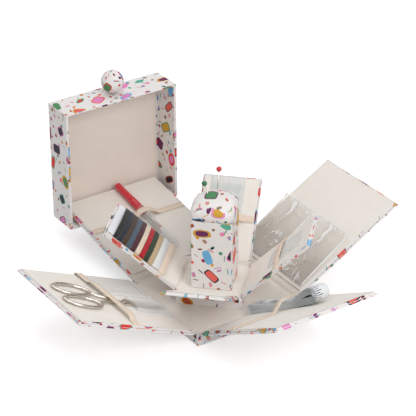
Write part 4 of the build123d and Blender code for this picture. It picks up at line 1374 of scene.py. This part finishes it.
class SEWING_OT_clear_bags(BoxStep):
    """Clear bag and snap fasteners, needle packet and the two film pockets"""

    bl_idname = "sewing.clear_bags"
    bl_label = "Clear bags"

    def execute(self, context):
        # The edge film is near-white: thicker film, and a painted highlight along the rims, welds and
        # mouths
        edge, lean, right = stored(film_edge_highlight), math.radians(POCKET_LEAN), walls["right"]
        up = right.along * math.cos(lean) + right.lift * math.sin(lean)
        near, far = (Place(right.at(across, 10.0, 4.5), right.across, up) for across in (29.0, -29.0))
        bags = [
            ("zip_bag", walls["left"], "left_wall", 11.0, 0.5, False),
            ("pocket_near", near, "right_wall", 21.0, 0.55, True),
            ("pocket_far", far, "right_wall", 31.0, 0.55, True),
            ("snap_bag", walls["inner_back"], "snap_bag", 41.0, 0.75, False),
            ("needle_packet", walls["inner_right"], "needle_packet", 61.0, 0.5, False),
        ]
        for node, place, body, seed, fullness, open_end in bags:
            low, high = place.box(node)
            # The pockets' film carries a painted shade, darker towards the bottom, and painted white
            # highlights
            film = stored(pocket_film_with_painted_shade if open_end else clear_film)
            pieces = [film_bag(node + "_film", place, low, high, film, seed, fullness, open_end),
                      film_rim(node + "_rim", place, low, high, edge, open_end)]
            if open_end:
                weld, inset, mouth = Vector((2.2, 2.2, 0.0)), 0.3, high.y - 0.4
                pieces.append(film_rim(node + "_weld", place, low + weld, high - weld * 0.2, edge,
                                       open_end=True, level=0.9))
                hem = [(low.x + inset, mouth, high.z - 0.3), (0, mouth, high.z + 0.2),
                       (high.x - inset, mouth, high.z - 0.3)]
                pieces.append(sweep(node + "_mouth", place, through(hem, 8), oval(0.45, 0.3, 8), edge))
            for piece in pieces:
                finish(piece, body, node)
        self.snaps()
        return {"FINISHED"}

    def snaps(self):
        """Nine snap fasteners in rows: a disc, its raised collar and a stud on each."""
        place = walls["inner_back"]
        low, high = place.box("snap_fasteners")
        tree = new_tree("snap_rows", "GeometryNodeTree",
                        {"Geometry": "Geometry", "Pitch": "Float", "Diameter": "Float", "Height": "Float"},
                        {"Geometry": "Geometry"})
        given = add_node(tree, "NodeGroupInput").outputs
        side = add_node(tree, "Math", {0: given["Pitch"], 1: 2.0}, operation="MULTIPLY")
        grid = add_node(tree, "GeometryNodeMeshGrid",
                        {"Size X": side, "Size Y": side, "Vertices X": 3, "Vertices Y": 3})
        shapes = add_node(tree, "GeometryNodeJoinGeometry")
        # Disc, collar and stud: radius as a share of the diameter, and height as a share of the height
        for reach, share in ((0.5, 0.4), (0.28, 0.75), (0.12, 1.0)):
            radius = add_node(tree, "Math", {0: given["Diameter"], 1: reach}, operation="MULTIPLY")
            depth = add_node(tree, "Math", {0: given["Height"], 1: share}, operation="MULTIPLY")
            disc = add_node(tree, "GeometryNodeMeshCylinder",
                            {"Vertices": 32, "Radius": radius, "Depth": depth})
            half = add_node(tree, "Math", {0: depth, 1: 0.5}, operation="MULTIPLY")
            raised = add_node(tree, "CombineXYZ", {"Z": half})
            add_node(tree, "GeometryNodeTransform", {"Geometry": disc, "Translation": raised},
                     to=shapes.inputs[0])
        placed = add_node(tree, "GeometryNodeInstanceOnPoints", {"Points": grid, "Instance": shapes})
        end_tree(tree, placed, stored(clear_plastic))
        discs = grown("snap_discs", bpy.data.meshes.new("snap_discs"), tree,
                      {"Pitch": 11.0, "Diameter": 9.0, "Height": high.z - low.z})
        middle = (low + high) / 2
        for vertex in discs.data.vertices:
            vertex.co = place.at(middle.x + vertex.co.x, middle.y + vertex.co.y, low.z + vertex.co.z)
        finish(discs, "snap_bag", "snap_fasteners")


class SEWING_OT_tape(BoxStep):
    """Tape measure, wound flat in layers and standing open at its loop"""

    bl_idname = "sewing.tape"
    bl_label = "Tape measure"

    # The folded tape's shape, in millimetres from its start: where it is pinched, its height there,
    # at its folded end and at the foot of its loop, and how far the folded end draws back
    pinch, pinch_height, end_height, loop_rise, draw_back = 50.0, 6.9, 10.4, 1.8, 2.4
    layer, first_layer = 0.53, 0.35

    def execute(self, context):
        low, high = tape.box("tape_measure")
        middle, pinch = (low.x + high.x) / 2, self.pinch
        knots = self.one_turn(high.y, high.z)
        path = []
        for turn in range(settings("notions").tape_turns):
            for i, (along, lift, inward_along, inward_lift) in enumerate(knots):
                if along < pinch:
                    loose = 1 + 0.52 * (pinch - along) / pinch
                else:
                    opened = min(1.0, (along - pinch) / (high.y - pinch) / 0.6)
                    loose = 1 + 1.15 * math.sin(math.pi / 2 * opened) ** 2
                depth = self.first_layer + self.layer * (i / len(knots) + turn) * loose
                along -= self.draw_back * max(0.0, 1 - along / pinch)
                path.append(Vector((middle, along + inward_along * depth, lift + inward_lift * depth)))
        band = ribbon("tape_band", tape, path, Vector((1, 0, 0)), high.x - low.x, 0.5, stored(coated_tape))
        band.data.materials.append(stored(tape_edge))
        for number, polygon in enumerate(band.data.polygons):
            # Of the section's eight faces the two broad ones are printed
            polygon.material_index = 0 if number % 8 in (1, 5) else 1
        finish(band, "tape", "tape_measure")
        end = self.end_height / 2
        for text, along in (("31", 14.0), ("32", 33.0)):
            fall = (self.pinch_height - self.end_height) * (along - end) / (pinch - end)
            self.number(text, middle + 2.0, along, self.end_height + fall + 0.25)
        return {"FINISHED"}

    def number(self, text, across, along, lift):
        """A printed number on the upper face, which falls towards the pinch."""
        size, weight, slope = 9.0, 0.22, 0.055
        name = "tape_number_" + text
        curve = bpy.data.curves.new(name, "FONT")
        curve.body, curve.size, curve.align_x, curve.align_y = text, size, "CENTER", "CENTER"
        curve.offset = weight
        carrier = bpy.data.objects.new(name, curve)
        mesh = bpy.data.meshes.new_from_object(carrier)
        bpy.data.objects.remove(carrier)
        for vertex in mesh.vertices:
            x, y, _ = vertex.co
            vertex.co = tape.at(across + y, along - x, lift + x * slope)
        mesh.materials.clear()
        mesh.materials.append(stored(tape_ink))
        finish(new_object(name, mesh), "tape", "tape_measure")

    def one_turn(self, length, height):
        """Knots once round the folded tape: along, lift, and the direction inwards as along, lift."""
        pinch, pinch_height, end_height, loop_rise = (
            self.pinch, self.pinch_height, self.end_height, self.loop_rise)
        end, radius, middle = end_height / 2, (height - loop_rise) / 2, (height + loop_rise) / 2
        loop, reach = length - radius - 0.4, radius + 0.4
        # Below, from the folded end to the pinch and on to the loop
        knots = [(end + (pinch - end) * share, 0.0, 0.0, 1.0) for share in (i / 8 for i in range(9))]
        knots += [(pinch + (loop - pinch) * share, loop_rise * share ** 1.6, 0.0, 1.0)
                  for share in (i / 6 for i in range(1, 7))]
        # Round the loop
        for turn in (math.pi * i / 11 for i in range(1, 11)):
            knots.append((loop + reach * math.sin(turn), middle - radius * math.cos(turn),
                          -math.sin(turn), math.cos(turn)))
        # Above, back to the pinch and to the folded end
        for share in (i / 6 for i in range(7)):
            drop = (pinch_height - height) * (0.5 - 0.5 * math.cos(math.pi * share))
            knots.append((loop + (pinch - loop) * share, height + drop, 0.0, -1.0))
        for share in (i / 4 for i in range(1, 5)):
            rise = (end_height - pinch_height) * share
            knots.append((pinch + (end - pinch) * share, pinch_height + rise, 0.0, -1.0))
        # Round the folded end
        knots += [(end - end * math.sin(turn), end + end * math.cos(turn), math.sin(turn), -math.cos(turn))
                  for turn in (math.pi * i / 6 for i in range(1, 6))]
        return knots


class SEWING_OT_ripper(BoxStep):
    """Seam ripper with its clear cap"""

    bl_idname = "sewing.ripper"
    bl_label = "Seam ripper"

    def execute(self, context):
        wall, red = walls["back"], stored(moulded_red)
        cap_low, cap_high = wall.box("ripper_cap")
        low, high = wall.box("ripper_handle")
        centre = wall.at((cap_low.x + cap_high.x) / 2, 0.0, (cap_low.z + cap_high.z) / 2)
        place = Place(centre, wall.across, wall.along)
        # The handle: its plug, shoulder, five grooves, waist and rounded end
        start, end, radius, rounding = cap_high.y + 0.2, high.y, (high.x - low.x) / 2, 2.4
        profile = [(low.y, 3.1), (start - 0.6, 3.2), (start, 3.3), (start, radius - 0.2),
                   (start + 0.6, radius)]
        for along in (start + 3.0 + i * 2.0 for i in range(5)):
            profile += [(along, radius), (along + 0.4, radius - 0.45), (along + 1.2, radius - 0.45),
                        (along + 1.6, radius)]
        profile += [(start + 16.0, radius - 0.1), (end - 10.0, radius - 0.5),
                    (end - rounding, radius - 0.1)]
        profile += [(end - rounding + rounding * math.sin(turn), radius - 2.5 + rounding * math.cos(turn))
                    for turn in (i * math.pi / 12 for i in range(1, 7))]
        finish(turned("ripper_grip", place, profile, red), "back_wall", "ripper_handle")
        # The cap: a hollow tube, outside from its closed end to its mouth, and inside back again
        tip, mouth, radius = cap_low.y, cap_high.y, (cap_high.x - cap_low.x) / 2
        profile = [(tip, 2.2), (tip + 0.5, radius - 0.9), (tip + 1.6, radius - 0.3),
                   (tip + 6.0, radius - 0.1), (mouth - 3.0, radius - 0.1), (mouth - 2.8, radius),
                   (mouth, radius), (mouth, radius - 0.7), (tip + 6.0, radius - 0.8),
                   (tip + 5.2, radius - 1.6), (tip + 5.0, 0.6)]
        cap = turned("ripper_cap_shell", place, profile, stored(clear_styrene), sides=40)
        finish(cap, "ripper_cap", "ripper_cap")
        for node, material in (("ripper_fork", stored(nickel_plate)), ("ripper_bead", red)):
            mesh = frame["nodes"][node].data
            mesh.materials.clear()
            mesh.materials.append(material)
        return {"FINISHED"}


class SEWING_OT_threads(BoxStep):
    """Thread card with ten wound colours"""

    bl_idname = "sewing.threads"
    bl_label = "Thread card"

    def execute(self, context):
        wall, notions, gap = walls["inner_left"], settings("notions"), 0.3
        card = wrapped_box("thread_card_sheet", wall, *wall.box("thread_card"), stored(coated_card),
                           rounding=0.3)
        finish(card, "thread_card", "thread_card")
        low, high = wall.box("thread_bands")
        tree = self.turns_tree()
        pitch = (high.y - low.y + gap) / len(THREAD_COLOURS)
        thickness = notions.thread_thickness / MM
        spacing = (pitch - gap - thickness) / (notions.thread_turns - 1)
        for number, (colour, hex_colour) in enumerate(THREAD_COLOURS):
            name = "thread_" + colour
            turn = self.one_turn(wall, low, high, low.y + number * pitch + thickness / 2, thickness)
            values = {"Turns": notions.thread_turns, "Step": wall.along * spacing * MM,
                      "Lift": wall.lift * 0.14 * MM, "Thickness": notions.thread_thickness,
                      "Material": stored(spun_thread(linear(hex_colour)), name), "Seed": number}
            band = grown(name, turn, tree, values)
            for polygon in band.data.polygons:
                polygon.use_smooth = True
            finish(band, "thread_card", "thread_bands")
        return {"FINISHED"}

    def one_turn(self, wall, low, high, along, thickness):
        """One turn of thread round the card, as a ring of edges."""
        half, bottom = high.x - thickness / 2, low.z + thickness / 2
        side, crown = low.z + 2.3 - thickness / 2, high.z - thickness / 2 - 0.2
        knots = [(-half, bottom), (half, bottom), (half, side)]
        for share in (i / 24 for i in range(1, 24)):
            rise = (crown - side) * math.sin(math.pi * share) ** 0.8
            knots.append((half - 2 * half * share, side + rise))
        knots.append((-half, side))
        mesh = bpy.data.meshes.new("thread_turn")
        points = [tuple(wall.at(across, along, lift)) for across, lift in knots]
        mesh.from_pydata(points, [(i, (i + 1) % len(points)) for i in range(len(points))], [])
        return mesh

    def turns_tree(self):
        """Winds one turn several times, side by side, each a little higher or lower."""
        tree = new_tree("thread_turns", "GeometryNodeTree",
                        {"Geometry": "Geometry", "Turns": "Int", "Step": "Vector", "Lift": "Vector",
                         "Thickness": "Float", "Material": "Material", "Seed": "Int"},
                        {"Geometry": "Geometry"})
        given = add_node(tree, "NodeGroupInput").outputs
        ring = add_node(tree, "GeometryNodeMeshToCurve", {"Mesh": given["Geometry"]})
        radius = add_node(tree, "Math", {0: given["Thickness"], 1: 0.5}, operation="MULTIPLY")
        section = add_node(tree, "GeometryNodeCurvePrimitiveCircle", {"Resolution": 7, "Radius": radius})
        strand = add_node(tree, "GeometryNodeCurveToMesh", {"Curve": ring, "Profile Curve": section})
        line = add_node(tree, "GeometryNodeMeshLine", {"Count": given["Turns"], "Offset": given["Step"]})
        uneven = add_node(tree, "FunctionNodeRandomValue", {"Seed": given["Seed"], 2: -1.0, 3: 1.0},
                          data_type="FLOAT").outputs[1]
        shift = add_node(tree, "VectorMath", {0: given["Lift"], "Scale": uneven}, operation="SCALE")
        moved = add_node(tree, "GeometryNodeSetPosition", {"Geometry": line, "Offset": shift})
        wound = add_node(tree, "GeometryNodeInstanceOnPoints", {"Points": moved, "Instance": strand})
        end_tree(tree, wound, given["Material"])
        return tree


STEPS = [
    SEWING_OT_stage,
    SEWING_OT_boards,
    SEWING_OT_pads,
    SEWING_OT_folds,
    SEWING_OT_lid,
    SEWING_OT_tower,
    SEWING_OT_bands,
    SEWING_OT_scissors,
    SEWING_OT_clear_bags,
    SEWING_OT_tape,
    SEWING_OT_ripper,
    SEWING_OT_threads,
]


class SEWING_PT_panel(bpy.types.Panel):
    """Lists the steps that dress the box"""

    bl_idname = "SEWING_PT_panel"
    bl_label = "Sewing Box"
    bl_space_type = "VIEW_3D"
    bl_region_type = "UI"
    bl_category = "Sewing Box"

    def draw(self, context):
        for step in STEPS:
            self.layout.operator(step.bl_idname)


GROUPS = {"cloth": ClothSettings, "notions": NotionSettings, "stage": StageSettings}


def register():
    for group in (*GROUPS.values(), *STEPS, SEWING_PT_panel):
        bpy.utils.register_class(group)
    for name, group in GROUPS.items():
        setattr(bpy.types.Scene, "sewing_box_" + name, PointerProperty(type=group))


def unregister():
    for name in GROUPS:
        delattr(bpy.types.Scene, "sewing_box_" + name)
    for group in (SEWING_PT_panel, *reversed(STEPS), *GROUPS.values()):
        bpy.utils.unregister_class(group)


def main():
    register()
    for step in STEPS:
        category, name = step.bl_idname.split(".")
        getattr(getattr(bpy.ops, category), name)()


if __name__ == "__main__":
    main()
